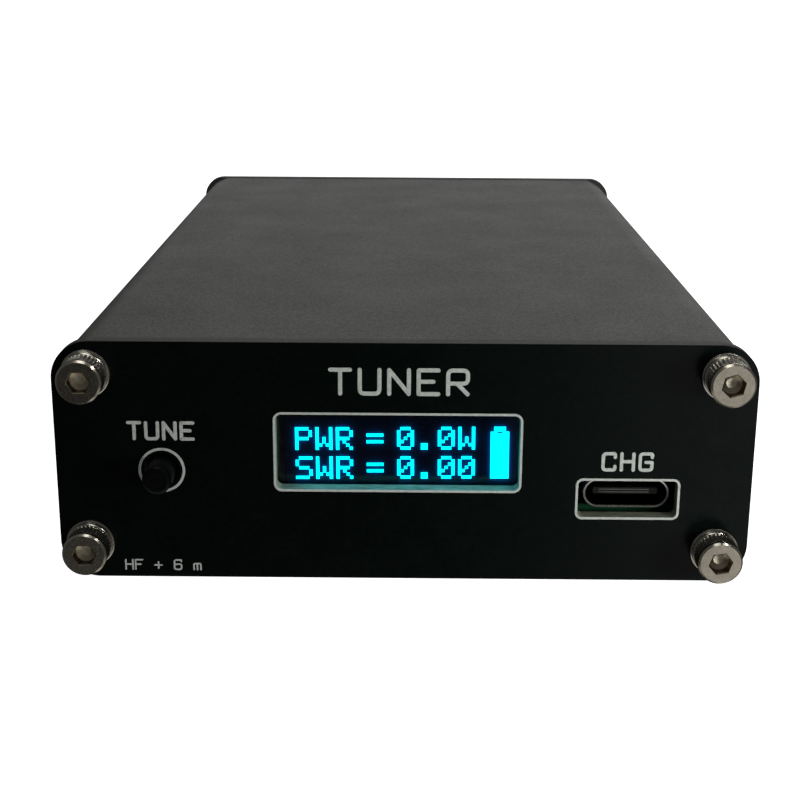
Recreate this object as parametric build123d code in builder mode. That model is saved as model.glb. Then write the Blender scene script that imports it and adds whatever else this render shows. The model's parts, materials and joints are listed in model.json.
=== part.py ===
from build123d import *
import os

# Pocket antenna tuner, in millimetres.
# +Z is up, the front panel faces -Y, and the origin is at the bottom centre of the whole object's box.
# The case is a split aluminium extrusion closed by two flat end panels that stand slightly proud of it.

os.makedirs("parts", exist_ok=True)

# ---- case and panels ----
panel_w = 71.0
panel_h = 25.4
front_panel_r = 4.0
rear_panel_r = 3.2
panel_t = 1.6
proud_side = 0.5
proud_top = 0.1
shell_len = 110.0
shell_w = panel_w - 2 * proud_side
shell_h = panel_h - 2 * proud_top
shell_r = 4.0
wall_t = 1.5
mid_z = panel_h / 2
tongue_t = 0.7
tongue_h = 0.8
tongue_gap = 0.05
seam_groove = 0.45

# ---- screws: M2.5 socket cap on a spring washer and a flat washer ----
screw_x = 32.1
screw_low_z = 3.7
screw_top_z = 22.0
screw_r = 1.25
screw_len = 9.0
head_r = 2.25
head_h = 2.5
head_chamfer = 0.35
socket_af = 2.0
socket_depth = 1.3
washer_r = 2.5
washer_hole_r = 1.35
panel_screw_hole_r = 1.5
washer_t = 0.5
spring_washer_r = 2.35
spring_washer_t = 0.6
spring_washer_slit = 0.5
spring_washer_slit_len = 2.4
channel_r = 2.1
channel_hole_r = screw_r + 0.02
head_proud = washer_t + spring_washer_t + head_h
pick_tol = 0.01

# ---- coax sockets on the rear panel ----
coax_x = 20.0
coax_z = 12.8
coax_neck_r = 4.3
coax_collar_r = 4.8
coax_collar_len = 3.7
coax_barrel_len = 12.0
coax_stud_r = 1.0
coax_stud_reach = 5.5
coax_stud_back = 5.0
coax_flange_r = 7.0
coax_flange_t = 2.2
coax_flange_chamfer = 0.4
coax_collar_chamfer = 0.3
coax_thread_r = 4.5
coax_thread_len = 8.0
coax_floor_t = 1.0
coax_bore_r = 4.05
insulator_r = 3.2
insulator_nose_r = 2.4
insulator_nose_len = 5.5
contact_wire_r = 0.65
contact_r = 1.12
contact_len = 5.2
contact_bore_r = 0.69
contact_bore_len = 4.0
lock_washer_r = 6.6
lock_washer_t = 0.6
coax_nut_af = 12.7
coax_nut_t = 2.4
panel_gap = 0.1
nut_gap = 0.02
coax_reach = coax_flange_t + coax_barrel_len

# ---- stations along Y ----
overall = head_proud + 2 * panel_t + shell_len + coax_reach
front_y = -overall / 2 + head_proud
shell_y0 = front_y + panel_t
shell_y1 = shell_y0 + shell_len
rear_y = shell_y1 + panel_t

# ---- front panel openings ----
window_w = 24.8
window_h = 8.0
window_r = 0.6
window_x = -0.67
window_z = 13.85
button_x = -24.72
button_z = 11.82
button_hole_r = 1.75
charge_x = 22.95
charge_cut_x = 22.87
charge_cut_w = 10.16
charge_cut_h = 3.96
charge_cut_z = 9.02

# ---- main board ----
board_t = 1.6
board_top = 7.5
board_w = 66.4
board_y0 = front_y + 2.6
board_y1 = shell_y1 - 4.2
slot_gap = 0.05
rib_t = 1.0
rib_reach = 1.6
pin_hole_r = 0.5
wire_hole_r = 0.8
board_notch_gap = 0.3
leg_slot_w = 0.6
leg_slot_gap = 0.4

# ---- display ----
glass_w = 30.0
glass_h = 11.5
glass_t = 1.45
glass_x = 1.9
display_z = 12.99
glass_y = front_y + 1.9
pad_w = 26.0
pad_h = 9.5
pad_t = 0.35
carrier_w = 38.0
carrier_h = 12.0
carrier_t = 1.2
carrier_r = 0.6
carrier_x = -1.3
carrier_y = glass_y + glass_t + pad_t
header_x = carrier_x - 17.4
header_pitch = 2.54
header_pin = 0.6
header_pin_gap = 0.02
header_size = 2.5
header_pin_front = 0.8
header_pin_tail = 0.6
pin_bend_first = 9.0
pin_bend_pitch = 2.0

# ---- push switch ----
button_r = 1.48
button_reach = 3.35
button_chamfer = 0.2
slide_gap = 0.05
switch_w = 6.0
switch_r = 0.4
switch_y0 = front_y + 2.5
switch_depth = 3.6
switch_wall = 0.8
flange_r = 2.1
flange_t = 0.8
nub_r = 0.9
cavity_r = 2.4
dome_r = 2.3
dome_t = 0.1
dome_rise = 0.45
dome_gap = 0.02
switch_floor = 0.5
bracket_t = 0.3
bracket_hole_gap = 0.5
bracket_leg_back = 1.2
bracket_leg_w = 1.2
switch_pin_x = 1.25
switch_pin_w = 0.7
switch_pin_t = 0.3
switch_pin_back = 0.8
solder_reach = 0.5

# ---- charge socket ----
charge_w = 8.94
charge_h = 3.26
charge_wall = 0.3
charge_len = 7.35
charge_y0 = front_y + 1.5
charge_z = board_top + charge_h / 2
charge_r = 1.55
charge_leg_w = 1.1
charge_leg_at = (2.4, 5.9)
charge_leg_drop = 0.2
charge_core_back = 5.6
charge_core_gap = 0.02
tongue_w = 6.69
tongue_plate_t = 0.7
tongue_r = 0.2
tongue_back = 0.7
tongue_len = 5.0
charge_contact_back = 1.1
charge_contact_len = 4.2
charge_contact_w = 0.25
charge_contact_t = 0.06
charge_contact_pitch = 0.5
charge_contact_count = 12

# ---- circuit parts on the board ----
relay_x = 24.5
relay_size = (14.0, 9.0, 5.0)
relay_pitch = 10.0
relay_rows = 7
relay_first_y = front_y + 24.0
relay_chamfer = 0.3
capacitor_x = 16.05
capacitor_size = (1.6, 3.2, 1.2)
core_r = 6.35
core_hole_r = 3.85
core_h = 4.83
coil_x = 7.4
coil_pitch = 15.0
coil_first_y = front_y + 36.0
winding_t = 0.8
coupler_core_r = 4.4
coupler_hole_r = 2.4
coupler_len = 4.0
coupler_wire_t = 0.7
winding_arc = 300
contact_bend_y = shell_y1 - 14.0
chip_lift = 0.1
chip_chamfer = 0.15
chip_leg_w = 0.35
chip_leg_len = 1.1
chip_leg_t = 0.3
controller_place = (-6.0, front_y + 20.0)
controller_size = (10.0, 10.0, 1.2)
driver_size = (10.0, 4.0, 1.5)
driver_left_place = (-26.0, front_y + 14.0)
driver_rear_place = (0.0, front_y + 92.0)
charger_place = (25.0, front_y + 14.0)
charger_size = (5.0, 4.0, 1.5)

# ---- battery ----
cell_w = 34.0
cell_len = 50.0
cell_t = 6.0
cell_r = 1.2
cell_fillet = 1.0
cell_tape_w = 28.0
cell_tape_len = 42.0
cell_tape_t = 0.5
cell_y0 = front_y + 31.0
cell_top = panel_h - proud_top - wall_t - cell_tape_t
lead_r = 0.55
lead_pitch = 2.0
lead_bend = 3.0
plug_x = 8.0
plug_y = front_y + 22.0
plug_size = (6.5, 3.9)
plug_reach = 7.0
plug_chamfer = 0.3
socket_size = (8.0, 5.4, 5.0)
socket_well = (6.6, 4.0, 4.0)
plug_gap = 0.1

# ---- control jack ----
jack_w = 8.0
jack_len = 13.8
jack_h = 6.4
jack_z = board_top + 3.2
jack_bush_r = 3.0
jack_bush_reach = 3.0
jack_bore_r = 1.8
jack_bore_len = 14.0
jack_rim_chamfer = 0.3
jack_gap = 0.15
jack_nut_r = 4.2
jack_nut_t = 1.8
jack_lug_t = 0.3
jack_lug_w = 1.2
jack_lug_at = (6.5, 11.5)


def upright(y):
    """A plane facing the front at the given Y, on which sketch x is world X and sketch y is world Z."""
    return Plane((0, y, 0), x_dir=(1, 0, 0), z_dir=(0, -1, 0))


screw_places = [(sx * screw_x, z) for sx in (-1, 1) for z in (screw_low_z, screw_top_z)]


# ==== case shells ====


def make_shell(is_lower):
    """One half of the split extrusion, with its two screw channels and its half of the side joint."""
    channel_z = screw_low_z if is_lower else screw_top_z
    keep_z = mid_z - shell_h if is_lower else mid_z + shell_h
    inner_w = shell_w - 2 * wall_t
    lip_w = inner_w + 2 * tongue_t
    with BuildPart() as shell:
        with BuildSketch(upright(shell_y0)) as section:
            with Locations((0, mid_z)):
                RectangleRounded(shell_w, shell_h, shell_r)
            with Locations((0, mid_z)):
                RectangleRounded(inner_w, shell_h - 2 * wall_t, shell_r - wall_t, mode=Mode.SUBTRACT)
            with Locations((0, keep_z)):
                Rectangle(2 * shell_w, 2 * shell_h, mode=Mode.INTERSECT)
            for sx in (-1, 1):
                with Locations((sx * screw_x, channel_z)):
                    Circle(channel_r)
                with Locations((sx * shell_w / 2, mid_z)):
                    Rectangle(seam_groove, seam_groove, rotation=45, mode=Mode.SUBTRACT)
                if is_lower:
                    rib_x = sx * (inner_w / 2 - rib_reach / 2 + tongue_gap)
                    with Locations((rib_x, board_top + slot_gap + rib_t / 2)):
                        Rectangle(rib_reach, rib_t)
                    lip_x = sx * (inner_w / 2 + (tongue_t - tongue_gap) / 2)
                    with Locations((lip_x, mid_z)):
                        Rectangle(tongue_t - tongue_gap, 2 * tongue_h)
                else:
                    lip_x = sx * lip_w / 2 - sx * (tongue_t + tongue_gap) / 2
                    with Locations((lip_x, mid_z)):
                        Rectangle(tongue_t + tongue_gap, 2 * (tongue_h + tongue_gap), mode=Mode.SUBTRACT)
            for sx in (-1, 1):
                with Locations((sx * screw_x, channel_z)):
                    Circle(channel_hole_r, mode=Mode.SUBTRACT)
        extrude(amount=-shell_len)
    return shell.part


lower_shell = make_shell(True)
lower_shell.label = "case_lower_shell"
export_step(lower_shell, "parts/case_lower_shell.step")

upper_shell = make_shell(False)
upper_shell.label = "case_upper_shell"
export_step(upper_shell, "parts/case_upper_shell.step")


# ==== end panels ====


with BuildPart() as front_panel:
    with BuildSketch(upright(front_y)):
        with Locations((0, mid_z)):
            RectangleRounded(panel_w, panel_h, front_panel_r)
        with Locations((window_x, window_z)):
            RectangleRounded(window_w, window_h, window_r, mode=Mode.SUBTRACT)
        with Locations((charge_cut_x, charge_cut_z)):
            RectangleRounded(charge_cut_w, charge_cut_h, window_r, mode=Mode.SUBTRACT)
        with Locations((button_x, button_z)):
            Circle(button_hole_r, mode=Mode.SUBTRACT)
        with Locations(*screw_places):
            Circle(panel_screw_hole_r, mode=Mode.SUBTRACT)
    extrude(amount=-panel_t)
front_panel.part.label = "front_panel"
export_step(front_panel.part, "parts/front_panel.step")

with BuildPart() as rear_panel:
    with BuildSketch(upright(shell_y1)):
        with Locations((0, mid_z)):
            RectangleRounded(panel_w, panel_h, rear_panel_r)
        with Locations((-coax_x, coax_z), (coax_x, coax_z)):
            Circle(coax_thread_r + panel_gap, mode=Mode.SUBTRACT)
        with Locations((0, jack_z)):
            Circle(jack_bush_r + panel_gap, mode=Mode.SUBTRACT)
        with Locations(*screw_places):
            Circle(panel_screw_hole_r, mode=Mode.SUBTRACT)
    extrude(amount=-panel_t)
rear_panel.part.label = "rear_panel"
export_step(rear_panel.part, "parts/rear_panel.step")


# ==== fasteners, four at each end ====


def make_fasteners(face_y, out):
    """Washers, spring washers and cap screws on one panel; out is -1 at the front, +1 at the rear."""
    spring_y = face_y + out * washer_t
    head_y = spring_y + out * spring_washer_t
    crown_y = head_y + out * head_h
    with BuildPart() as flats:
        with BuildSketch(upright(face_y)):
            with Locations(*screw_places):
                Circle(washer_r)
                Circle(washer_hole_r, mode=Mode.SUBTRACT)
        extrude(amount=-out * washer_t)
    with BuildPart() as springs:
        with BuildSketch(upright(spring_y)):
            with Locations(*screw_places):
                Circle(spring_washer_r)
                Circle(washer_hole_r, mode=Mode.SUBTRACT)
            with Locations(*[(x, z + spring_washer_r) for x, z in screw_places]):
                Rectangle(spring_washer_slit, spring_washer_slit_len, mode=Mode.SUBTRACT)
        extrude(amount=-out * spring_washer_t)
    with BuildPart() as screws:
        with BuildSketch(upright(head_y)):
            with Locations(*screw_places):
                Circle(head_r)
        extrude(amount=-out * head_h)
        rims = screws.edges().filter_by(GeomType.CIRCLE)
        rims = rims.filter_by_position(Axis.Y, crown_y - pick_tol, crown_y + pick_tol)
        chamfer(rims, head_chamfer)
        with BuildSketch(upright(head_y)):
            with Locations(*screw_places):
                Circle(screw_r)
        extrude(amount=out * screw_len)
        with BuildSketch(upright(crown_y)):
            with Locations(*screw_places):
                RegularPolygon(socket_af / 2, 6, major_radius=False)
        extrude(amount=out * socket_depth, mode=Mode.SUBTRACT)
    return flats.part, springs.part, screws.part


for end, face_y, out in (("front", front_y, -1), ("rear", rear_y, 1)):
    flats, springs, screws = make_fasteners(face_y, out)
    flats.label = f"{end}_flat_washers"
    springs.label = f"{end}_spring_washers"
    screws.label = f"{end}_screws"
    for group in (flats, springs, screws):
        export_step(group, f"parts/{group.label}.step")


# ==== display ====

pin_heights = [display_z + header_pitch * (i - 1.5) for i in range(4)]
pin_bends = [front_y + pin_bend_first + pin_bend_pitch * i for i in range(4)]

with BuildPart() as display_glass:
    with BuildSketch(upright(glass_y)):
        with Locations((glass_x, display_z)):
            Rectangle(glass_w, glass_h)
    extrude(amount=-glass_t)
display_glass.part.label = "display_glass"
export_step(display_glass.part, "parts/display_glass.step")

with BuildPart() as display_pad:
    with BuildSketch(upright(glass_y + glass_t)):
        with Locations((glass_x, display_z)):
            Rectangle(pad_w, pad_h)
    extrude(amount=-pad_t)
display_pad.part.label = "display_adhesive_pad"
export_step(display_pad.part, "parts/display_adhesive_pad.step")

with BuildPart() as display_board:
    with BuildSketch(upright(carrier_y)):
        with Locations((carrier_x, display_z)):
            RectangleRounded(carrier_w, carrier_h, carrier_r)
        with Locations(*[(header_x, z) for z in pin_heights]):
            Circle(pin_hole_r, mode=Mode.SUBTRACT)
    extrude(amount=-carrier_t)
display_board.part.label = "display_board"
export_step(display_board.part, "parts/display_board.step")

with BuildPart() as display_header:
    with BuildSketch(upright(carrier_y + carrier_t)):
        with Locations((header_x, display_z)):
            Rectangle(header_size, 4 * header_pitch)
        with Locations(*[(header_x, z) for z in pin_heights]):
            Rectangle(header_pin + header_pin_gap, header_pin + header_pin_gap, mode=Mode.SUBTRACT)
    extrude(amount=-header_size)
display_header.part.label = "display_header"
export_step(display_header.part, "parts/display_header.step")

with BuildPart() as display_pins:
    for z, bend_y in zip(pin_heights, pin_bends):
        with BuildSketch(upright(carrier_y - header_pin_front)):
            with Locations((header_x, z)):
                Rectangle(header_pin, header_pin)
        extrude(amount=-(bend_y - carrier_y + header_pin_front + header_pin / 2))
        with BuildSketch(Plane.XY.offset(z)):
            with Locations((header_x, bend_y)):
                Rectangle(header_pin, header_pin)
        extrude(amount=-(z - board_top + board_t + header_pin_tail))
display_pins.part.label = "display_pins"
export_step(display_pins.part, "parts/display_pins.step")


# ==== push switch and its moving button ====

switch_y1 = switch_y0 + switch_depth
flange_y = switch_y0 + switch_wall
dome_rim_y = switch_y1 - switch_floor
dome_y = dome_rim_y - dome_t - dome_rise
rod_front_y = front_y - button_reach

with BuildPart() as tune_button:
    with BuildSketch(upright(rod_front_y)):
        with Locations((button_x, button_z)):
            Circle(button_r)
    extrude(amount=-(flange_y - rod_front_y + slide_gap))
    front_rim = tune_button.edges().filter_by(GeomType.CIRCLE).sort_by(Axis.Y)[0]
    chamfer(front_rim, button_chamfer)
    with BuildSketch(upright(flange_y + slide_gap)):
        with Locations((button_x, button_z)):
            Circle(flange_r)
    extrude(amount=-(flange_t - slide_gap))
    with BuildSketch(upright(flange_y + flange_t)):
        with Locations((button_x, button_z)):
            Circle(nub_r)
    extrude(amount=-(dome_y - flange_y - flange_t - dome_gap))
tune_button.part.label = "tune_button"
export_step(tune_button.part, "parts/tune_button.step")

with BuildPart() as switch_housing:
    with BuildSketch(upright(switch_y0)):
        with Locations((button_x, button_z)):
            RectangleRounded(switch_w, switch_w, switch_r)
    extrude(amount=-switch_depth)
    with BuildSketch(upright(switch_y0)):
        with Locations((button_x, button_z)):
            Circle(button_r + slide_gap)
    extrude(amount=-switch_wall, mode=Mode.SUBTRACT)
    with BuildSketch(upright(flange_y)):
        with Locations((button_x, button_z)):
            Circle(cavity_r)
    extrude(amount=-(dome_rim_y - flange_y), mode=Mode.SUBTRACT)
switch_housing.part.label = "switch_housing"
export_step(switch_housing.part, "parts/switch_housing.step")

with BuildPart() as switch_dome:
    with BuildSketch(Plane((button_x, 0, button_z), x_dir=(1, 0, 0), z_dir=(0, 0, 1))):
        with BuildLine():
            Polyline(
                (0, dome_y),
                (nub_r, dome_y),
                (dome_r, dome_rim_y - dome_t),
                (dome_r, dome_rim_y),
                (nub_r, dome_y + dome_t),
                (0, dome_y + dome_t),
                close=True,
            )
        make_face()
    revolve(axis=Axis((button_x, 0, button_z), (0, 1, 0)))
switch_dome.part.label = "switch_dome"
export_step(switch_dome.part, "parts/switch_dome.step")

with BuildPart() as switch_bracket:
    with BuildSketch(upright(switch_y0 - bracket_t)):
        with Locations((button_x, button_z)):
            Rectangle(switch_w + 2 * bracket_t, switch_w)
            Circle(button_r + bracket_hole_gap, mode=Mode.SUBTRACT)
    extrude(amount=-bracket_t)
    for sx in (-1, 1):
        with BuildSketch(upright(switch_y0)):
            with Locations((button_x + sx * (switch_w + bracket_t) / 2, button_z)):
                Rectangle(bracket_t, switch_w)
        extrude(amount=-switch_depth)
        with BuildSketch(upright(switch_y0 + bracket_leg_back)):
            leg_z = button_z - switch_w / 2
            leg_end = board_top - board_t - solder_reach
            with Locations((button_x + sx * (switch_w + bracket_t) / 2, (leg_z + leg_end) / 2)):
                Rectangle(bracket_t, leg_z - leg_end)
        extrude(amount=-bracket_leg_w)
switch_bracket.part.label = "switch_bracket"
export_step(switch_bracket.part, "parts/switch_bracket.step")

with BuildPart() as switch_pins:
    for sx in (-1, 1):
        with BuildSketch(Plane.XY.offset(button_z - switch_w / 2)):
            with Locations((button_x + sx * switch_pin_x, switch_y1 - switch_pin_back)):
                Rectangle(switch_pin_w, switch_pin_t)
        extrude(amount=-(button_z - switch_w / 2 - board_top + board_t + solder_reach))
switch_pins.part.label = "switch_pins"
export_step(switch_pins.part, "parts/switch_pins.step")


# ==== charge socket ====

leg_places = [(sx * (charge_w - charge_wall) / 2, y) for sx in (-1, 1) for y in charge_leg_at]

with BuildPart() as charge_shell:
    with BuildSketch(upright(charge_y0)):
        with Locations((charge_x, charge_z)):
            RectangleRounded(charge_w, charge_h, charge_r)
    extrude(amount=-charge_len)
    with BuildSketch(upright(charge_y0)):
        with Locations((charge_x, charge_z)):
            RectangleRounded(charge_w - 2 * charge_wall, charge_h - 2 * charge_wall, charge_r - charge_wall)
    extrude(amount=-(charge_len - charge_wall), mode=Mode.SUBTRACT)
    with BuildSketch(Plane.XY.offset(charge_z - charge_leg_drop)):
        with Locations(*[(charge_x + x, charge_y0 + y) for x, y in leg_places]):
            Rectangle(charge_wall, charge_leg_w)
    extrude(amount=-(charge_z - charge_leg_drop - board_top + board_t))
charge_shell.part.label = "charge_socket_shell"
export_step(charge_shell.part, "parts/charge_socket_shell.step")

core_inset = charge_wall + charge_core_gap
with BuildPart() as charge_tongue:
    with BuildSketch(upright(charge_y0 + charge_core_back)):
        with Locations((charge_x, charge_z)):
            RectangleRounded(charge_w - 2 * core_inset, charge_h - 2 * core_inset, charge_r - core_inset)
    extrude(amount=-(charge_len - charge_wall - charge_core_back))
    with BuildSketch(upright(charge_y0 + tongue_back)):
        with Locations((charge_x, charge_z)):
            RectangleRounded(tongue_w, tongue_plate_t, tongue_r)
    extrude(amount=-tongue_len)
charge_tongue.part.label = "charge_socket_tongue"
export_step(charge_tongue.part, "parts/charge_socket_tongue.step")

with BuildPart() as charge_contacts:
    for side in (-1, 1):
        with BuildSketch(upright(charge_y0 + charge_contact_back)):
            for i in range(charge_contact_count):
                contact_x = charge_x + (i - (charge_contact_count - 1) / 2) * charge_contact_pitch
                contact_z = charge_z + side * (tongue_plate_t + charge_contact_t) / 2
                with Locations((contact_x, contact_z)):
                    Rectangle(charge_contact_w, charge_contact_t)
        extrude(amount=-charge_contact_len)
charge_contacts.part.label = "charge_socket_contacts"
export_step(charge_contacts.part, "parts/charge_socket_contacts.step")


# ==== main board ====

switch_leg_y = switch_y0 + bracket_leg_back + bracket_leg_w / 2
notch_w = carrier_w + 2 * board_notch_gap
notch_len = carrier_y + carrier_t + 2 * board_notch_gap - board_y0
with BuildPart() as main_board:
    with BuildSketch(Plane.XY.offset(board_top)):
        with Locations((0, (board_y0 + board_y1) / 2)):
            Rectangle(board_w, board_y1 - board_y0)
        with Locations((carrier_x, board_y0)):
            Rectangle(notch_w, 2 * notch_len, mode=Mode.SUBTRACT)
        with Locations(*[(header_x, y) for y in pin_bends]):
            Circle(pin_hole_r, mode=Mode.SUBTRACT)
        with Locations((-coax_x, contact_bend_y), (coax_x, contact_bend_y)):
            Circle(wire_hole_r, mode=Mode.SUBTRACT)
        with Locations(*[(charge_x + x, charge_y0 + y) for x, y in leg_places]):
            SlotOverall(charge_leg_w + leg_slot_gap, leg_slot_w, rotation=90, mode=Mode.SUBTRACT)
        for sx in (-1, 1):
            with Locations((button_x + sx * (switch_w + bracket_t) / 2, switch_leg_y)):
                SlotOverall(bracket_leg_w + leg_slot_gap, leg_slot_w, rotation=90, mode=Mode.SUBTRACT)
            with Locations((button_x + sx * switch_pin_x, switch_y1 - switch_pin_back)):
                Circle(pin_hole_r, mode=Mode.SUBTRACT)
    extrude(amount=-board_t)
main_board.part.label = "main_board"
export_step(main_board.part, "parts/main_board.step")

relay_ys = [relay_first_y + relay_pitch * i for i in range(relay_rows)]
relay_places = [(sx * relay_x, y) for sx in (-1, 1) for y in relay_ys]

with BuildPart() as relays:
    with BuildSketch(Plane.XY.offset(board_top)):
        with Locations(*relay_places):
            Rectangle(relay_size[0], relay_size[1])
    extrude(amount=relay_size[2])
    relay_tops = relays.faces().filter_by(Axis.Z).group_by(Axis.Z)[-1]
    chamfer(relay_tops.edges(), relay_chamfer)
relays.part.label = "latching_relays"
export_step(relays.part, "parts/latching_relays.step")

coil_places = [(sx * coil_x, coil_first_y + coil_pitch * i) for sx in (-1, 1) for i in range(4)]
coil_places = coil_places[:-1]
coil_floor = board_top + winding_t

with BuildPart() as coil_cores:
    with BuildSketch(Plane.XY.offset(coil_floor)):
        with Locations(*coil_places):
            Circle(core_r)
            Circle(core_hole_r, mode=Mode.SUBTRACT)
    extrude(amount=core_h)
coil_cores.part.label = "inductor_cores"
export_step(coil_cores.part, "parts/inductor_cores.step")

with BuildPart() as coil_windings:
    for x, y in coil_places:
        with BuildSketch(Plane((x, y, coil_floor + core_h / 2), x_dir=(1, 0, 0), z_dir=(0, -1, 0))):
            with Locations(((core_r + core_hole_r) / 2, 0)):
                Rectangle(core_r - core_hole_r + 2 * winding_t, core_h + 2 * winding_t)
                Rectangle(core_r - core_hole_r, core_h, mode=Mode.SUBTRACT)
        revolve(axis=Axis((x, y, 0), (0, 0, 1)), revolution_arc=winding_arc)
coil_windings.part.label = "inductor_windings"
export_step(coil_windings.part, "parts/inductor_windings.step")

capacitor_places = [(sx * capacitor_x, y) for sx in (-1, 1) for y in relay_ys]
with BuildPart() as capacitors:
    with BuildSketch(Plane.XY.offset(board_top)):
        with Locations(*capacitor_places):
            Rectangle(capacitor_size[0], capacitor_size[1])
    extrude(amount=capacitor_size[2])
capacitors.part.label = "tuning_capacitors"
export_step(capacitors.part, "parts/tuning_capacitors.step")


def make_chip(place, size, legs):
    """A chip package on the board, with a row of legs on its two long sides."""
    x, y = place
    size_x, size_y, height = size
    with BuildPart() as chip:
        with BuildSketch(Plane.XY.offset(board_top + chip_lift)):
            with Locations((x, y)):
                Rectangle(size_x, size_y)
        extrude(amount=height)
        chamfer(chip.edges().group_by(Axis.Z)[-1], chip_chamfer)
        with BuildSketch(Plane.XY.offset(board_top)):
            for sy in (-1, 1):
                for i in range(legs):
                    leg_x = x + (i - (legs - 1) / 2) * (size_x - 1) / (legs - 1)
                    with Locations((leg_x, y + sy * (size_y / 2 + chip_leg_w))):
                        Rectangle(chip_leg_w, chip_leg_len)
        extrude(amount=chip_leg_t)
    return chip.part


controller = make_chip(controller_place, controller_size, 11)
controller.label = "microcontroller"
export_step(controller, "parts/microcontroller.step")

driver_left = make_chip(driver_left_place, driver_size, 8)
driver_left.label = "relay_driver_left"
export_step(driver_left, "parts/relay_driver_left.step")

driver_rear = make_chip(driver_rear_place, driver_size, 8)
driver_rear.label = "relay_driver_rear"
export_step(driver_rear, "parts/relay_driver_rear.step")

charger = make_chip(charger_place, charger_size, 4)
charger.label = "charger_chip"
export_step(charger, "parts/charger_chip.step")


# ==== battery ====

cell_bottom = cell_top - cell_t
plug_top = board_top + plug_reach

with BuildPart() as cell:
    with BuildSketch(Plane.XY.offset(cell_bottom)):
        with Locations((0, cell_y0 + cell_len / 2)):
            RectangleRounded(cell_w, cell_len, cell_r)
    extrude(amount=cell_t)
    fillet(cell.edges().group_by(Axis.Z)[0], cell_fillet)
cell.part.label = "battery_cell"
export_step(cell.part, "parts/battery_cell.step")

with BuildPart() as cell_tape:
    with BuildSketch(Plane.XY.offset(cell_top)):
        with Locations((0, cell_y0 + cell_len / 2)):
            Rectangle(cell_tape_w, cell_tape_len)
    extrude(amount=cell_tape_t)
cell_tape.part.label = "battery_foam_tape"
export_step(cell_tape.part, "parts/battery_foam_tape.step")

socket_floor_z = board_top + socket_size[2] - socket_well[2]

with BuildPart() as battery_header:
    with BuildSketch(Plane.XY.offset(board_top)):
        with Locations((plug_x, plug_y)):
            Rectangle(socket_size[0], socket_size[1])
    extrude(amount=socket_size[2])
    with BuildSketch(Plane.XY.offset(socket_floor_z)):
        with Locations((plug_x, plug_y)):
            Rectangle(socket_well[0], socket_well[1])
    extrude(amount=socket_well[2], mode=Mode.SUBTRACT)
battery_header.part.label = "battery_header"
export_step(battery_header.part, "parts/battery_header.step")

with BuildPart() as battery_plug:
    with BuildSketch(Plane.XY.offset(socket_floor_z + plug_gap)):
        with Locations((plug_x, plug_y)):
            Rectangle(plug_size[0], plug_size[1])
    extrude(amount=plug_top - socket_floor_z - plug_gap)
    chamfer(battery_plug.edges().group_by(Axis.Z)[-1], plug_chamfer)
battery_plug.part.label = "battery_plug"
export_step(battery_plug.part, "parts/battery_plug.step")

lead_z = cell_top - cell_t / 2
with BuildPart() as leads:
    for sx in (-1, 1):
        lead_x = plug_x + sx * lead_pitch / 2
        with BuildLine() as lead_path:
            FilletPolyline(
                (lead_x, plug_y, plug_top),
                (lead_x, plug_y, lead_z),
                (lead_x, cell_y0, lead_z),
                radius=lead_bend,
            )
        with BuildSketch(Plane((lead_x, plug_y, plug_top), x_dir=(1, 0, 0), z_dir=(0, 0, 1))):
            Circle(lead_r)
        sweep(path=lead_path.line)
leads.part.label = "battery_leads"
export_step(leads.part, "parts/battery_leads.step")


# ==== coax sockets, couplers ====


def ring_z(x, r_out, r_in, y0, y1):
    """A tube along Y, centred on a coax axis."""
    with BuildPart() as tube:
        with BuildSketch(upright(y0)):
            with Locations((x, coax_z)):
                Circle(r_out)
                Circle(r_in, mode=Mode.SUBTRACT)
        extrude(amount=-(y1 - y0))
    return tube.part


barrel_y = rear_y + coax_flange_t
barrel_end = barrel_y + coax_barrel_len
thread_end = rear_y - coax_thread_len
floor_y = barrel_y + coax_floor_t

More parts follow.
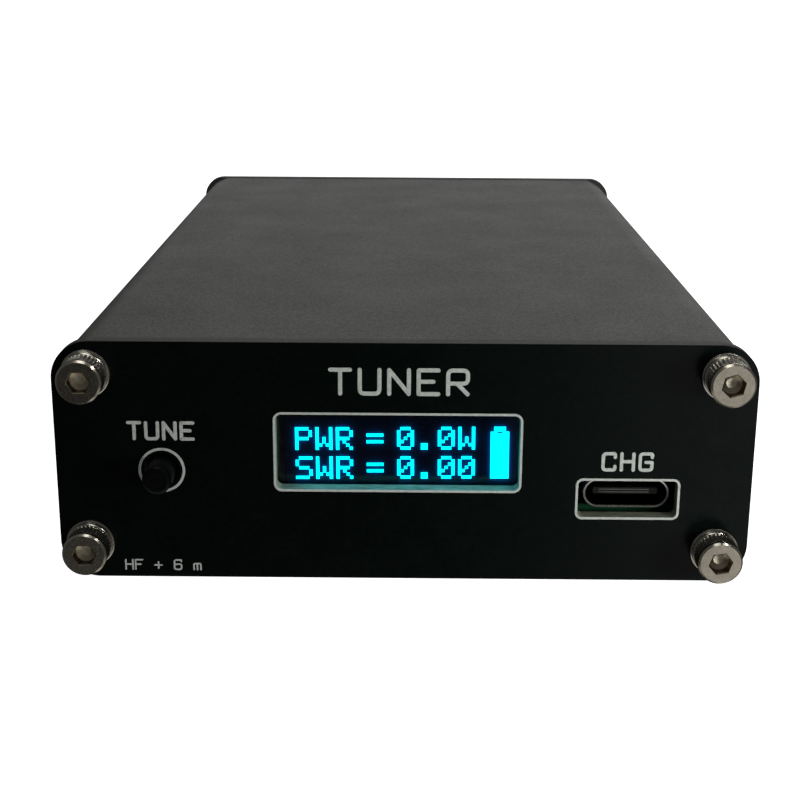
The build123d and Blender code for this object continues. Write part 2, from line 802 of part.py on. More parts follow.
for name, x in (("left", -coax_x), ("right", coax_x)):
    with BuildPart() as coax_body:
        with BuildSketch(upright(rear_y)):
            with Locations((x, coax_z)):
                Circle(coax_flange_r)
        extrude(amount=-coax_flange_t)
        chamfer(coax_body.edges().filter_by(GeomType.CIRCLE).sort_by(Axis.Y)[-1], coax_flange_chamfer)
        with BuildSketch(upright(barrel_y)):
            with Locations((x, coax_z)):
                Circle(coax_neck_r)
        extrude(amount=-(coax_barrel_len - coax_collar_len))
        with BuildSketch(upright(barrel_end - coax_collar_len)):
            with Locations((x, coax_z)):
                Circle(coax_collar_r)
        extrude(amount=-coax_collar_len)
        chamfer(coax_body.edges().filter_by(GeomType.CIRCLE).sort_by(Axis.Y)[-1], coax_collar_chamfer)
        with BuildSketch(Plane((x, barrel_end - coax_stud_back, coax_z), x_dir=(1, 0, 0), z_dir=(0, 0, 1))):
            Circle(coax_stud_r)
        extrude(amount=coax_stud_reach, both=True)
        with BuildSketch(upright(thread_end)):
            with Locations((x, coax_z)):
                Circle(coax_thread_r)
        extrude(amount=-coax_thread_len)
        with BuildSketch(upright(thread_end)):
            with Locations((x, coax_z)):
                Circle(insulator_r)
        extrude(amount=-(floor_y - thread_end), mode=Mode.SUBTRACT)
        with BuildSketch(upright(floor_y)):
            with Locations((x, coax_z)):
                Circle(coax_bore_r)
        extrude(amount=-coax_barrel_len, mode=Mode.SUBTRACT)
    coax_body.part.label = f"coax_socket_{name}_body"
    export_step(coax_body.part, f"parts/coax_socket_{name}_body.step")

    with BuildPart() as insulator:
        with BuildSketch(upright(thread_end)):
            with Locations((x, coax_z)):
                Circle(insulator_r)
                Circle(contact_wire_r, mode=Mode.SUBTRACT)
        extrude(amount=-(floor_y - thread_end))
        with BuildSketch(upright(floor_y)):
            with Locations((x, coax_z)):
                Circle(insulator_nose_r)
                Circle(contact_r, mode=Mode.SUBTRACT)
        extrude(amount=-insulator_nose_len)
    insulator.part.label = f"coax_socket_{name}_insulator"
    export_step(insulator.part, f"parts/coax_socket_{name}_insulator.step")

    with BuildPart() as contact:
        with BuildSketch(upright(contact_bend_y)):
            with Locations((x, coax_z)):
                Circle(contact_wire_r)
        extrude(amount=-(floor_y - contact_bend_y))
        with BuildSketch(upright(floor_y)):
            with Locations((x, coax_z)):
                Circle(contact_r)
        extrude(amount=-contact_len)
        with BuildSketch(upright(floor_y + contact_len - contact_bore_len)):
            with Locations((x, coax_z)):
                Circle(contact_bore_r)
        extrude(amount=-contact_bore_len, mode=Mode.SUBTRACT)
        with BuildSketch(Plane.XY.offset(coax_z)):
            with Locations((x, contact_bend_y)):
                Circle(contact_wire_r)
        extrude(amount=-(coax_z - board_top + board_t + solder_reach))
    contact.part.label = f"coax_socket_{name}_contact"
    export_step(contact.part, f"parts/coax_socket_{name}_contact.step")

    lock_washer = ring_z(x, lock_washer_r, coax_thread_r + nut_gap, shell_y1 - lock_washer_t, shell_y1)
    lock_washer.label = f"coax_socket_{name}_lock_washer"
    export_step(lock_washer, f"parts/coax_socket_{name}_lock_washer.step")

    with BuildPart() as nut:
        with BuildSketch(upright(shell_y1 - lock_washer_t - coax_nut_t)):
            with Locations((x, coax_z)):
                RegularPolygon(coax_nut_af / 2, 6, major_radius=False)
                Circle(coax_thread_r + nut_gap, mode=Mode.SUBTRACT)
        extrude(amount=-coax_nut_t)
    nut.part.label = f"coax_socket_{name}_nut"
    export_step(nut.part, f"parts/coax_socket_{name}_nut.step")

    core_y0 = contact_bend_y + 2.0
    coupler_core = ring_z(x, coupler_core_r, coupler_hole_r, core_y0, core_y0 + coupler_len)
    coupler_core.label = f"coupler_core_{name}"
    export_step(coupler_core, f"parts/coupler_core_{name}.step")

    with BuildPart() as coupler_winding:
        with BuildSketch(Plane((x, core_y0 + coupler_len / 2, coax_z), x_dir=(1, 0, 0), z_dir=(0, 0, 1))):
            with Locations(((coupler_core_r + coupler_hole_r) / 2, 0)):
                wide = coupler_core_r - coupler_hole_r
                Rectangle(wide + 2 * coupler_wire_t, coupler_len + 2 * coupler_wire_t)
                Rectangle(wide, coupler_len, mode=Mode.SUBTRACT)
        revolve(axis=Axis((x, 0, coax_z), (0, 1, 0)), revolution_arc=winding_arc)
    coupler_winding.part.label = f"coupler_winding_{name}"
    export_step(coupler_winding.part, f"parts/coupler_winding_{name}.step")


# ==== control jack ====

jack_y1 = shell_y1 - jack_gap
bush_end = rear_y + jack_bush_reach

with BuildPart() as jack_body:
    with BuildSketch(upright(jack_y1 - jack_len)):
        with Locations((0, board_top + jack_h / 2)):
            Rectangle(jack_w, jack_h)
    extrude(amount=-jack_len)
    with BuildSketch(upright(jack_y1)):
        with Locations((0, jack_z)):
            Circle(jack_bush_r)
    extrude(amount=-(bush_end - jack_y1))
    chamfer(jack_body.edges().filter_by(GeomType.CIRCLE).sort_by(Axis.Y)[-1], jack_rim_chamfer)
    with BuildSketch(upright(bush_end)):
        with Locations((0, jack_z)):
            Circle(jack_bore_r)
    extrude(amount=jack_bore_len, mode=Mode.SUBTRACT)
jack_body.part.label = "control_jack_body"
export_step(jack_body.part, "parts/control_jack_body.step")

with BuildPart() as jack_nut:
    with BuildSketch(upright(rear_y)):
        with Locations((0, jack_z)):
            Circle(jack_nut_r)
            Circle(jack_bush_r + nut_gap, mode=Mode.SUBTRACT)
    extrude(amount=-jack_nut_t)
jack_nut.part.label = "control_jack_nut"
export_step(jack_nut.part, "parts/control_jack_nut.step")

jack_lug_x = (jack_w + jack_lug_t) / 2
jack_lug_places = [(sx * jack_lug_x, jack_y1 - y) for sx in (-1, 1) for y in jack_lug_at]

with BuildPart() as jack_lugs:
    with BuildSketch(Plane.XY.offset(board_top)):
        with Locations(*jack_lug_places):
            Rectangle(jack_lug_t, jack_lug_w)
    extrude(amount=3.0)
jack_lugs.part.label = "control_jack_lugs"
export_step(jack_lugs.part, "parts/control_jack_lugs.step")

print("overall length", overall, "front face y", front_y, "rear face y", rear_y)
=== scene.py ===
import json
import math

import bmesh
import bpy
import numpy as np
from mathutils import Matrix, Vector


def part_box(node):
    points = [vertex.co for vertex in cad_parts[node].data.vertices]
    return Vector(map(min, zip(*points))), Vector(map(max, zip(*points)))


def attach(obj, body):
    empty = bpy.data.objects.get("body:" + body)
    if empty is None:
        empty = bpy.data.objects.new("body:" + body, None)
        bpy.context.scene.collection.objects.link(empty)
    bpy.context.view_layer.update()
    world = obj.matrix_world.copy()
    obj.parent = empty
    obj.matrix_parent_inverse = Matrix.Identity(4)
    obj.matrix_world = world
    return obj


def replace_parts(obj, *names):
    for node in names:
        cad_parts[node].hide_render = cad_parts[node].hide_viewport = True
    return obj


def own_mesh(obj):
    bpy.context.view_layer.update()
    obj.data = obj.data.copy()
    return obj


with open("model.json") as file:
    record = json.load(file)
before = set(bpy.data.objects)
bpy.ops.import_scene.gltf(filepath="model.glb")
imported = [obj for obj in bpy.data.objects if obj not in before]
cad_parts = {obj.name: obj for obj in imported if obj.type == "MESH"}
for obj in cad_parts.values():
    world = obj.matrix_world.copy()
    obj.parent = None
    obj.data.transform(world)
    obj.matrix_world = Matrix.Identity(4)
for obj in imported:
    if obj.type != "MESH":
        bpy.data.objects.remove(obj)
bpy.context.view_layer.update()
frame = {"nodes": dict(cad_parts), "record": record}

# The looks of a pocket antenna tuner. X is to the right, the front panel faces -Y, and +Z is up.
# Lengths are in millimetres, and mesh() turns them into metres; lamps and the floor are in metres.

MM = 0.001
HOUSING = "housing"
BUTTON = "tune_button_body"


def box_mm(node):
    """The low and high corner of a node's box, in millimetres."""
    low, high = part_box(node)
    return low / MM, high / MM


FRONT_Y = box_mm("front_panel")[0].y
REAR_Y = box_mm("rear_panel")[1].y
PANEL_T = box_mm("front_panel")[1].y - FRONT_Y
PANEL_W = 2 * box_mm("front_panel")[1].x
PANEL_H = box_mm("front_panel")[1].z
FRONT_R = 4.0
REAR_R = 3.2

WASHER_R = 2.5
SCREW_X = box_mm("front_flat_washers")[1].x - WASHER_R
SCREW_LOW_Z = box_mm("front_flat_washers")[0].z + WASHER_R
SCREW_TOP_Z = box_mm("front_flat_washers")[1].z - WASHER_R
SCREW_HOLE_R = 1.5
WASHER_T = 0.5
SPRING_T = 0.6
HEAD_H = 2.5

# The front panel's rectangular cut-outs: middle x and z, width, height, corner radius.
WINDOW = (-0.67, 13.85, 24.8, 8.0, 0.6)
CHARGE_CUT = (22.87, 9.02, 10.16, 3.96, 0.6)
BUTTON_X = (box_mm("tune_button")[0].x + box_mm("tune_button")[1].x) / 2
BUTTON_Z = (box_mm("tune_button")[0].z + box_mm("tune_button")[1].z) / 2
BUTTON_HOLE_R = 1.75


# ---- mesh tools ----

SQUARE = 0.99999


def mesh(name, verts, faces, materials, slot, body=HOUSING, smooth_deg=35, face_materials=None):
    """A piece from vertices in millimetres; it rides on a body and takes the given materials. The slot is not
    used.
    """
    data = bpy.data.meshes.new(name)
    data.from_pydata([[c * MM for c in v] for v in verts], [], faces)
    for material in materials:
        data.materials.append(material)
    if face_materials:
        data.polygons.foreach_set("material_index", face_materials)
    return finish_mesh(name, data, body, smooth_deg)


def finish_mesh(name, data, body=HOUSING, smooth_deg=35):
    """Cleans a mesh, points its faces outwards, smooths it and makes it a piece on a body.

    Faces square to an axis stay flat-shaded, so that the big flat ones don't catch their edges' normals.
    """
    bm = bmesh.new()
    bm.from_mesh(data)
    bmesh.ops.remove_doubles(bm, verts=bm.verts, dist=1e-7)
    bmesh.ops.recalc_face_normals(bm, faces=bm.faces)
    bm.to_mesh(data)
    bm.free()
    data.shade_smooth()
    data.set_sharp_from_angle(angle=math.radians(smooth_deg))
    for face in data.polygons:
        face.use_smooth = max(abs(c) for c in face.normal) < SQUARE
    piece = bpy.data.objects.new(name, data)
    bpy.context.scene.collection.objects.link(piece)
    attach(piece, body)
    return piece


def join_parts(parts):
    """Several (vertices, faces) pairs as one."""
    verts = []
    faces = []
    for part_verts, part_faces in parts:
        start = len(verts)
        verts.extend(part_verts)
        faces.extend([[i + start for i in face] for face in part_faces])
    return verts, faces


def lathe(x, z, face_y, out, profile, steps=96, ridge=None):
    """Turns a (radius, height, ridge depth) profile about an axis along Y; height goes outwards from face_y.

    A closed profile: the last row joins the first. ridge is the number of knurls round the part.
    """
    verts = []
    faces = []
    rows = len(profile)
    for i in range(steps):
        angle = 2 * math.pi * i / steps
        wave = 0.5 - 0.5 * math.cos(angle * ridge) if ridge else 0
        for radius, height, depth in profile:
            r = radius - depth * wave
            verts.append((x + r * math.cos(angle), face_y + out * height, z + r * math.sin(angle)))
    for i in range(steps):
        j = (i + 1) % steps
        for k in range(rows):
            m = (k + 1) % rows
            faces.append([i * rows + k, i * rows + m, j * rows + m, j * rows + k])
    return verts, faces


def plain(profile):
    """A lathe profile without knurls, from (radius, height) pairs."""
    return [(r, h, 0) for r, h in profile]


def rounded_rect(x, z, width, height, radius, steps=10):
    """Points round a rectangle with round corners, in the panel's plane."""
    points = []
    for cx, cz, start in ((1, 1, 0), (-1, 1, 90), (-1, -1, 180), (1, -1, 270)):
        for i in range(steps + 1):
            angle = math.radians(start + 90 * i / steps)
            px = x + cx * (width / 2 - radius) + radius * math.cos(angle)
            pz = z + cz * (height / 2 - radius) + radius * math.sin(angle)
            points.append((px, pz))
    return points


def circle_points(x, z, radius, steps=48):
    """Points round a circle, in the panel's plane."""
    angles = [2 * math.pi * i / steps for i in range(steps)]
    return [(x + radius * math.cos(a), z + radius * math.sin(a)) for a in angles]


# ---- materials ----


def new_material(name, base, roughness, metallic=0.0, specular=0.5):
    """A material of one even colour, for the functions below to add noise to."""
    material = bpy.data.materials.new(name)
    material.use_nodes = True
    shader = material.node_tree.nodes["Principled BSDF"]
    shader.inputs["Base Color"].default_value = (*base, 1)
    shader.inputs["Roughness"].default_value = roughness
    shader.inputs["Metallic"].default_value = metallic
    shader.inputs["Specular IOR Level"].default_value = specular
    return material


def add_node(material, kind, **values):
    """A new node with the given input values and settings."""
    node = material.node_tree.nodes.new(kind)
    for key, value in values.items():
        if key in node.inputs:
            node.inputs[key].default_value = value
        else:
            setattr(node, key, value)
    return node


def link(material, source, output, target, name):
    material.node_tree.links.new(source.outputs[output], target.inputs[name])


def noise(material, scale_mm, detail=3.0, stretch=(1, 1, 1)):
    """Noise whose blobs are about scale_mm across, in the object's own coordinates."""
    place = add_node(material, "ShaderNodeTexCoord")
    mapping = add_node(material, "ShaderNodeMapping", Scale=stretch)
    node = add_node(material, "ShaderNodeTexNoise", Scale=1 / (scale_mm * MM), Detail=detail, Roughness=0.55)
    link(material, place, "Object", mapping, "Vector")
    link(material, mapping, "Vector", node, "Vector")
    return node


def set_stops(ramp, stops):
    """Gives a colour ramp its stops, each a place and a colour."""
    elements = ramp.color_ramp.elements
    while len(elements) < len(stops):
        elements.new(0.5)
    for element, (place, colour) in zip(elements, stops):
        element.position = place
        element.color = (*colour, 1)


def vary_colour(material, source, dark, light, low=0.3, high=0.7):
    """The base colour goes from dark to light with a noise."""
    shader = material.node_tree.nodes["Principled BSDF"]
    ramp = add_node(material, "ShaderNodeValToRGB")
    set_stops(ramp, [(low, dark), (high, light)])
    link(material, source, "Fac", ramp, "Fac")
    link(material, ramp, "Color", shader, "Base Color")


def vary_roughness(material, source, low, high):
    """The roughness goes from low to high with a noise."""
    shader = material.node_tree.nodes["Principled BSDF"]
    span = add_node(material, "ShaderNodeMapRange")
    span.inputs["From Min"].default_value = 0.3
    span.inputs["From Max"].default_value = 0.7
    span.inputs["To Min"].default_value = low
    span.inputs["To Max"].default_value = high
    link(material, source, "Fac", span, "Value")
    link(material, span, "Result", shader, "Roughness")


def add_bump(material, source, height_mm, strength=1.0):
    """A relief from a noise, on top of any relief that is already there."""
    shader = material.node_tree.nodes["Principled BSDF"]
    bump = add_node(material, "ShaderNodeBump", Strength=strength, Distance=height_mm * MM)
    link(material, source, "Fac", bump, "Height")
    if shader.inputs["Normal"].is_linked:
        before = shader.inputs["Normal"].links[0].from_node
        link(material, before, "Normal", bump, "Normal")
    link(material, bump, "Normal", shader, "Normal")


def anodised():
    """Sand-blasted, black anodised aluminium: matte, with a fine even grain and faint dust."""
    m = new_material("anodised_black", (0.05, 0.05, 0.049), 0.5, 0.0, 0.25)
    vary_colour(m, noise(m, 0.20, 2.0), (0.022, 0.022, 0.0215), (0.084, 0.084, 0.082), 0.38, 0.62)
    vary_roughness(m, noise(m, 9.0, 3.0), 0.50, 0.58)
    add_bump(m, noise(m, 0.22, 3.0), 0.030, 0.6)
    add_bump(m, noise(m, 6.0, 2.0), 0.020, 0.3)
    return m


def solder_mask():
    """Black solder mask over glass-fibre board: nearly black, satin, with a faint orange-peel."""
    m = new_material("solder_mask_black", (0.0012, 0.0032, 0.0026), 0.24, 0.0, 0.17)
    vary_colour(m, noise(m, 0.5, 4.0), (0.0008, 0.0024, 0.0019), (0.0018, 0.0042, 0.0034))
    vary_roughness(m, noise(m, 3.0, 4.0), 0.20, 0.27)
    add_bump(m, noise(m, 0.35, 2.0), 0.002, 0.5)
    return m


def board_edge():
    """The sawn and routed edge of the glass-fibre board, under the mask: dull greenish brown."""
    m = new_material("board_edge", (0.16, 0.17, 0.13), 0.7, 0.0, 0.3)
    vary_colour(m, noise(m, 0.25, 3.0, (0.2, 1.0, 1.0)), (0.085, 0.10, 0.075), (0.26, 0.27, 0.21))
    add_bump(m, noise(m, 0.12, 2.0, (0.2, 1.0, 1.0)), 0.02, 0.6)
    return m


def board_rim(name, dark, light):
    """The outer rim of a panel: dark and dull, lighter on the rear one."""
    m = new_material(name, light, 0.6, 0.0, 0.4)
    vary_colour(m, noise(m, 0.3, 3.0), dark, light)
    add_bump(m, noise(m, 0.15, 2.0), 0.015, 0.6)
    return m


def screen_ink():
    """White screen-printed ink: slightly uneven, matte."""
    m = new_material("print_ink", (0.62, 0.63, 0.62), 0.6, 0.0, 0.3)
    vary_colour(m, noise(m, 0.4, 3.0), (0.445, 0.47, 0.445), (0.605, 0.63, 0.605))
    add_bump(m, noise(m, 0.12, 2.0), 0.006, 0.5)
    return m


def plated_steel(name, base, dark, roughness, grain_mm=0.25):
    """Dull nickel-plated steel with fine scratches and warm staining."""
    m = new_material(name, base, roughness, 1.0)
    vary_colour(m, noise(m, 1.3, 4.0), dark, base)
    vary_roughness(m, noise(m, grain_mm, 4.0), roughness - 0.04, roughness + 0.07)
    add_bump(m, noise(m, grain_mm / 2, 2.0), 0.002, 0.4)
    return m


def moulded(name, base, roughness=0.45, spread=0.3, grain_mm=0.2, specular=0.5):
    """Moulded plastic with a fine texture and slight variation."""
    m = new_material(name, base, roughness, 0.0, specular)
    low = tuple(c * (1 - spread) for c in base)
    high = tuple(c * (1 + spread) for c in base)
    vary_colour(m, noise(m, 2.0, 4.0), low, high)
    vary_roughness(m, noise(m, grain_mm * 4, 3.0), roughness - 0.05, roughness + 0.07)
    add_bump(m, noise(m, grain_mm, 2.0), 0.008, 0.4)
    return m


MAT = {
    "case_black": anodised(),
    "panel_black": solder_mask(),
    "panel_print": screen_ink(),
    "screw_steel": plated_steel("screw_nickel", (0.60, 0.56, 0.47), (0.50, 0.465, 0.385), 0.22),
    "washer_steel": plated_steel("washer_zinc", (0.64, 0.62, 0.56), (0.50, 0.48, 0.43), 0.22),
    "display_glass": moulded("display_glass_dark", (0.002, 0.003, 0.006), 0.3, 0.2, 0.5, 0.1),
    "carrier_blue": moulded("carrier_mask_blue", (0.015, 0.05, 0.15), 0.35),
    "adhesive_pad": moulded("foam_pad_white", (0.70, 0.70, 0.66), 0.85),
    "moulding_black": moulded("moulding_black", (0.008, 0.008, 0.008), 0.5),
    "button_black": moulded("button_black", (0.0008, 0.0014, 0.0014), 0.36, 0.25, 0.2, 0.12),
    "pin_gold": plated_steel("gold_plate", (0.92, 0.68, 0.30), (0.80, 0.56, 0.22), 0.26),
    "pin_tin": plated_steel("tin_plate", (0.78, 0.78, 0.75), (0.64, 0.64, 0.61), 0.35),
    "spring_steel": plated_steel("spring_steel", (0.72, 0.71, 0.68), (0.60, 0.59, 0.56), 0.22),
    "socket_steel": plated_steel("socket_steel", (0.74, 0.72, 0.68), (0.58, 0.56, 0.52), 0.28, 0.4),
    "tongue_grey": moulded("tongue_grey", (0.010, 0.010, 0.010), 0.38, specular=0.3),
    "board_green": moulded("board_mask_green", (0.005, 0.032, 0.016), 0.38, 0.3, 0.2, 0.3),
    "relay_white": moulded("relay_shell", (0.74, 0.71, 0.63), 0.4, 0.06),
    "core_red": moulded("core_lacquer_red", (0.36, 0.03, 0.02), 0.5),
    "core_grey": moulded("core_ferrite", (0.06, 0.06, 0.065), 0.6),
    "wire_copper": plated_steel("enamelled_copper", (0.72, 0.30, 0.12), (0.55, 0.21, 0.08), 0.28),
    "capacitor_tan": moulded("capacitor_ceramic", (0.36, 0.25, 0.15), 0.55),
    "chip_black": moulded("chip_epoxy", (0.022, 0.022, 0.024), 0.6),
    "cell_silver": plated_steel("cell_foil", (0.78, 0.78, 0.77), (0.66, 0.66, 0.66), 0.38, 1.5),
    "connector_white": moulded("connector_nylon", (0.78, 0.76, 0.70), 0.5, 0.05),
    "lead_red": moulded("lead_red", (0.50, 0.02, 0.02), 0.45),
    "coax_nickel": plated_steel("coax_nickel", (0.74, 0.72, 0.67), (0.62, 0.60, 0.55), 0.22, 0.5),
    "insulator_white": moulded("insulator_white", (0.82, 0.82, 0.79), 0.5, 0.04),
}
EDGE = board_edge()
FRONT_RIM = board_rim("board_rim_black", (0.008, 0.009, 0.008), (0.030, 0.031, 0.028))
REAR_RIM = board_rim("board_rim_lighter", (0.030, 0.030, 0.028), (0.085, 0.085, 0.080))

for entry in frame["record"]["subparts"]:
    data = frame["nodes"][entry["node"]].data
    data.materials.clear()
    data.materials.append(MAT[entry["material_slot"]])


# ---- end panels ----

ARRIS = 0.10
RIM_BAND = 1.2
CORNER_BAND = 0.4
MASK, BARE_EDGE, RIM = range(3)


def panel(name, face_y, out, radius, holes, node):
    """A glass-fibre end panel: mask outside, bare board in the cut-outs, dark inner face and outer rim."""
    curve = bpy.data.curves.new(name + "_outline", "CURVE")
    curve.dimensions = "2D"
    curve.fill_mode = "BOTH"
    curve.extrude = (PANEL_T / 2 - ARRIS) * MM
    curve.bevel_depth = ARRIS * MM
    curve.bevel_resolution = 2
    curve.offset = -ARRIS * MM
    rim = rounded_rect(0, PANEL_H / 2, PANEL_W, PANEL_H, radius, 16)
    for loop in [rim] + holes:
        spline = curve.splines.new("POLY")
        spline.points.add(len(loop) - 1)
        for point, (x, z) in zip(spline.points, loop):
            point.co = (x * MM, z * MM, 0, 1)
        spline.use_cyclic_u = True
    holder = bpy.data.objects.new(name + "_outline", curve)
    bpy.context.scene.collection.objects.link(holder)
    bpy.context.view_layer.update()
    depsgraph = bpy.context.evaluated_depsgraph_get()
    data = bpy.data.meshes.new_from_object(holder.evaluated_get(depsgraph))
    bpy.data.objects.remove(holder)
    data.name = name
    middle = (face_y - out * PANEL_T / 2) * MM
    data.transform(Matrix(((1, 0, 0, 0), (0, 0, 1, middle), (0, 1, 0, 0), (0, 0, 0, 1))))
    data.materials.clear()
    for material in (MAT["panel_black"], EDGE, FRONT_RIM if out < 0 else REAR_RIM):
        data.materials.append(material)
    for face in data.polygons:
        past_x = abs(face.center.x) / MM - PANEL_W / 2
        past_z = abs(face.center.z / MM - PANEL_H / 2) - PANEL_H / 2
        corner_x, corner_z = past_x + radius, past_z + radius
        on_corner = corner_x > 0 and corner_z > 0 and math.hypot(corner_x, corner_z) > radius - CORNER_BAND
        on_rim = max(past_x, past_z) > -RIM_BAND or on_corner
        if abs(face.normal.y) < 0.5:
            face.material_index = RIM if on_rim else BARE_EDGE
        else:
            inner = (face.center.y - middle) * out < 0
            face.material_index = RIM if inner else MASK
    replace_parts(finish_mesh(name, data, smooth_deg=40), node)


# The screws go left low, left top, right low, right top. PLAY is how far each sits from its hole's middle.
screw_places = [(side * SCREW_X, z) for side in (-1, 1) for z in (SCREW_LOW_Z, SCREW_TOP_Z)]
screw_holes = [circle_points(x, z, SCREW_HOLE_R) for x, z in screw_places]
PLAY = {
    "front": [(-0.22, 0.20), (0.18, 0.10), (-0.05, -0.20), (-0.03, 0.24)],
    "rear": [(0.05, -0.04), (0, 0.06), (-0.06, 0), (0.03, 0.05)],
}
front_holes = screw_holes + [
    rounded_rect(*WINDOW),
    rounded_rect(*CHARGE_CUT),
    circle_points(BUTTON_X, BUTTON_Z, BUTTON_HOLE_R),
]
panel("front_panel_board", FRONT_Y, -1, FRONT_R, front_holes, "front_panel")

COAX_X = 20.0
COAX_Z = 12.8
JACK_Z = 10.7
THREAD_R = 4.5
BUSH_R = 3.0
HOLE_PLAY = 0.1
rear_holes = screw_holes + [
    circle_points(-COAX_X, COAX_Z, THREAD_R + HOLE_PLAY),
    circle_points(COAX_X, COAX_Z, THREAD_R + HOLE_PLAY),
    circle_points(0, JACK_Z, BUSH_R + HOLE_PLAY),
]
panel("rear_panel_board", REAR_Y, 1, REAR_R, rear_holes, "rear_panel")


# ---- screen print: strokes with round ends, a hair thicker than the panel face ----

INK_T = 0.03
LAYER = 0.002
SUNK = 0.02
CAP_STEPS = 6


def fillet(points, radius):
    """A polyline with its corners rounded; each corner takes less than half of the lines beside it."""
    steps = 5
    share = 0.49
    result = [points[0]]
    for first, corner, last in zip(points, points[1:], points[2:]):
        here = Vector(corner)
        before = Vector(first) - here
        after = Vector(last) - here
        turn = before.angle(after)
        cut = min(radius / math.tan(turn / 2), share * before.length, share * after.length)
        start = here + before.normalized() * cut
        end = here + after.normalized() * cut
        for k in range(steps + 1):
            t = k / steps
            q = start * (1 - t) ** 2 + here * 2 * t * (1 - t) + end * t * t
            result.append((q.x, q.y))
    result.append(points[-1])
    return result


def ribbon(points, width, face_y, out, lift, closed=False):
    """A raised line of ink along the points, its edges rounded over; open lines get round ends."""
    half = width / 2
    path = [Vector(p) for p in points]
    rings = []
    count = len(path)
    for i, here in enumerate(path):
        before = path[i - 1] if closed or i else None
        after = path[(i + 1) % count] if closed or i < count - 1 else None
        one = (here - before).normalized() if before is not None else None
        two = (after - here).normalized() if after is not None else None
        along = ((one or two) + (two or one)).normalized()
        miter = 1 / max(0.5, along.dot(one or two))
        rings.append((here, along, half * min(miter, 1.4)))
    if not closed:
        cap = []
        for k in range(1, CAP_STEPS + 1):
            angle = math.pi / 2 * k / CAP_STEPS
            cap.append((half * math.sin(angle), max(half * math.cos(angle), half * 0.02)))
        first, last = rings[0], rings[-1]
        head = [(first[0] - first[1] * d, first[1], w) for d, w in reversed(cap)]
        tail = [(last[0] + last[1] * d, last[1], w) for d, w in cap]
        rings = head + rings + tail
    top = INK_T + lift
    section = [(-1, -SUNK), (-1, top * 0.6), (-0.88, top), (0.88, top), (1, top * 0.6), (1, -SUNK)]
    verts = []
    faces = []
    n = len(section)
    for centre, along, w in rings:
        side = Vector((along.y, -along.x))
        for s, h in section:
            q = centre + side * (s * w)
            verts.append((q.x, face_y + out * h, q.y))
    spans = len(rings) if closed else len(rings) - 1
    for i in range(spans):
        j = (i + 1) % len(rings)
        for k in range(n):
            m = (k + 1) % n
            faces.append([i * n + k, i * n + m, j * n + m, j * n + k])
    if not closed:
        faces.append(list(range(n)))
        faces.append([(len(rings) - 1) * n + k for k in reversed(range(n))])
    return verts, faces


# Each letter is a list of strokes: a corner radius and the stroke's points, for a letter 1 high and W wide.
W = 0.69
R = 0.2
SHARP = 0.03
GLYPHS = {
    "T": [(SHARP, [(0, 1), (W, 1)]), (SHARP, [(W / 2, 1), (W / 2, 0)])],
    "U": [(R, [(0, 1), (0, 0), (W, 0), (W, 1)])],
    "N": [(SHARP, [(0, 0), (0, 1)]), (SHARP, [(0, 1), (W, 0)]), (SHARP, [(W, 0), (W, 1)])],
    "E": [(SHARP, [(W, 1), (0, 1), (0, 0), (W, 0)]), (SHARP, [(0, 0.52), (0.75 * W, 0.52)])],
    "R": [
        (R, [(0, 0), (0, 1), (W, 1), (W, 0.45), (0.5 * W, 0.45)]), (SHARP, [(0.5 * W, 0.45), (0, 0.45)]),
        (SHARP, [(0.45 * W, 0.45), (W, 0)]),
    ],
    "C": [(R, [(W, 0.78), (W, 1), (0, 1), (0, 0), (W, 0), (W, 0.22)])],
    "H": [(SHARP, [(0, 0), (0, 1)]), (SHARP, [(W, 0), (W, 1)]), (SHARP, [(0, 0.52), (W, 0.52)])],
    "G": [(R, [(W, 0.78), (W, 1), (0, 1), (0, 0), (W, 0), (W, 0.48)]), (SHARP, [(W, 0.48), (0.5 * W, 0.48)])],
    "F": [(SHARP, [(W, 1), (0, 1), (0, 0)]), (SHARP, [(0, 0.52), (0.75 * W, 0.52)])],
    "I": [(SHARP, [(W / 2, 0), (W / 2, 1)])],
    "O": [(R, [(0, 0.5), (0, 1), (W, 1), (W, 0.5)]), (R, [(W, 0.5), (W, 0), (0, 0), (0, 0.5)])],
    "L": [(SHARP, [(0, 1), (0, 0), (W, 0)])],
    "+": [(SHARP, [(0, 0.45), (W, 0.45)]), (SHARP, [(W / 2, 0.12), (W / 2, 0.78)])],
    "6": [
        (R, [(W, 0.86), (W, 1), (0, 1), (0, 0), (W, 0), (W, 0.55), (0.5 * W, 0.55)]),
        (SHARP, [(0.5 * W, 0.55), (0, 0.55)]),
    ],
    "m": [
        (0.12, [(0, 0), (0, 0.62), (W / 2, 0.62), (W / 2, 0)]),
        (0.12, [(W / 2, 0.5), (W / 2, 0.62), (W, 0.62), (W, 0)]),
    ],
    " ": [],
}


def lettering(text, left, base, height, pitch, width, face_y, out, wide=1.0):
    """Strokes of a plain drafting font; left and base are the first letter's stroke centres.

    Each stroke of a letter is a layer higher than the one before, so that crossing strokes don't flicker.
    """
    parts = []
    for i, letter in enumerate(text):
        for k, (radius, points) in enumerate(GLYPHS[letter]):
            x0 = left + i * pitch * -out
            placed = [(x0 - out * x * height * wide, base + z * height) for x, z in points]
            path = fillet(placed, radius * height)
            parts.append(ribbon(path, width, face_y, out, LAYER * k))
    return parts


def printed(name, parts):
    """One piece of ink from several strokes."""
    verts, faces = join_parts(parts)
    return mesh(name, verts, faces, [MAT["panel_print"]], "panel_print", smooth_deg=50)


def outline(name, points, line):
    """A closed line round something on the front panel."""
    printed(name, [ribbon(points, line, FRONT_Y, -1, 0, closed=True)])


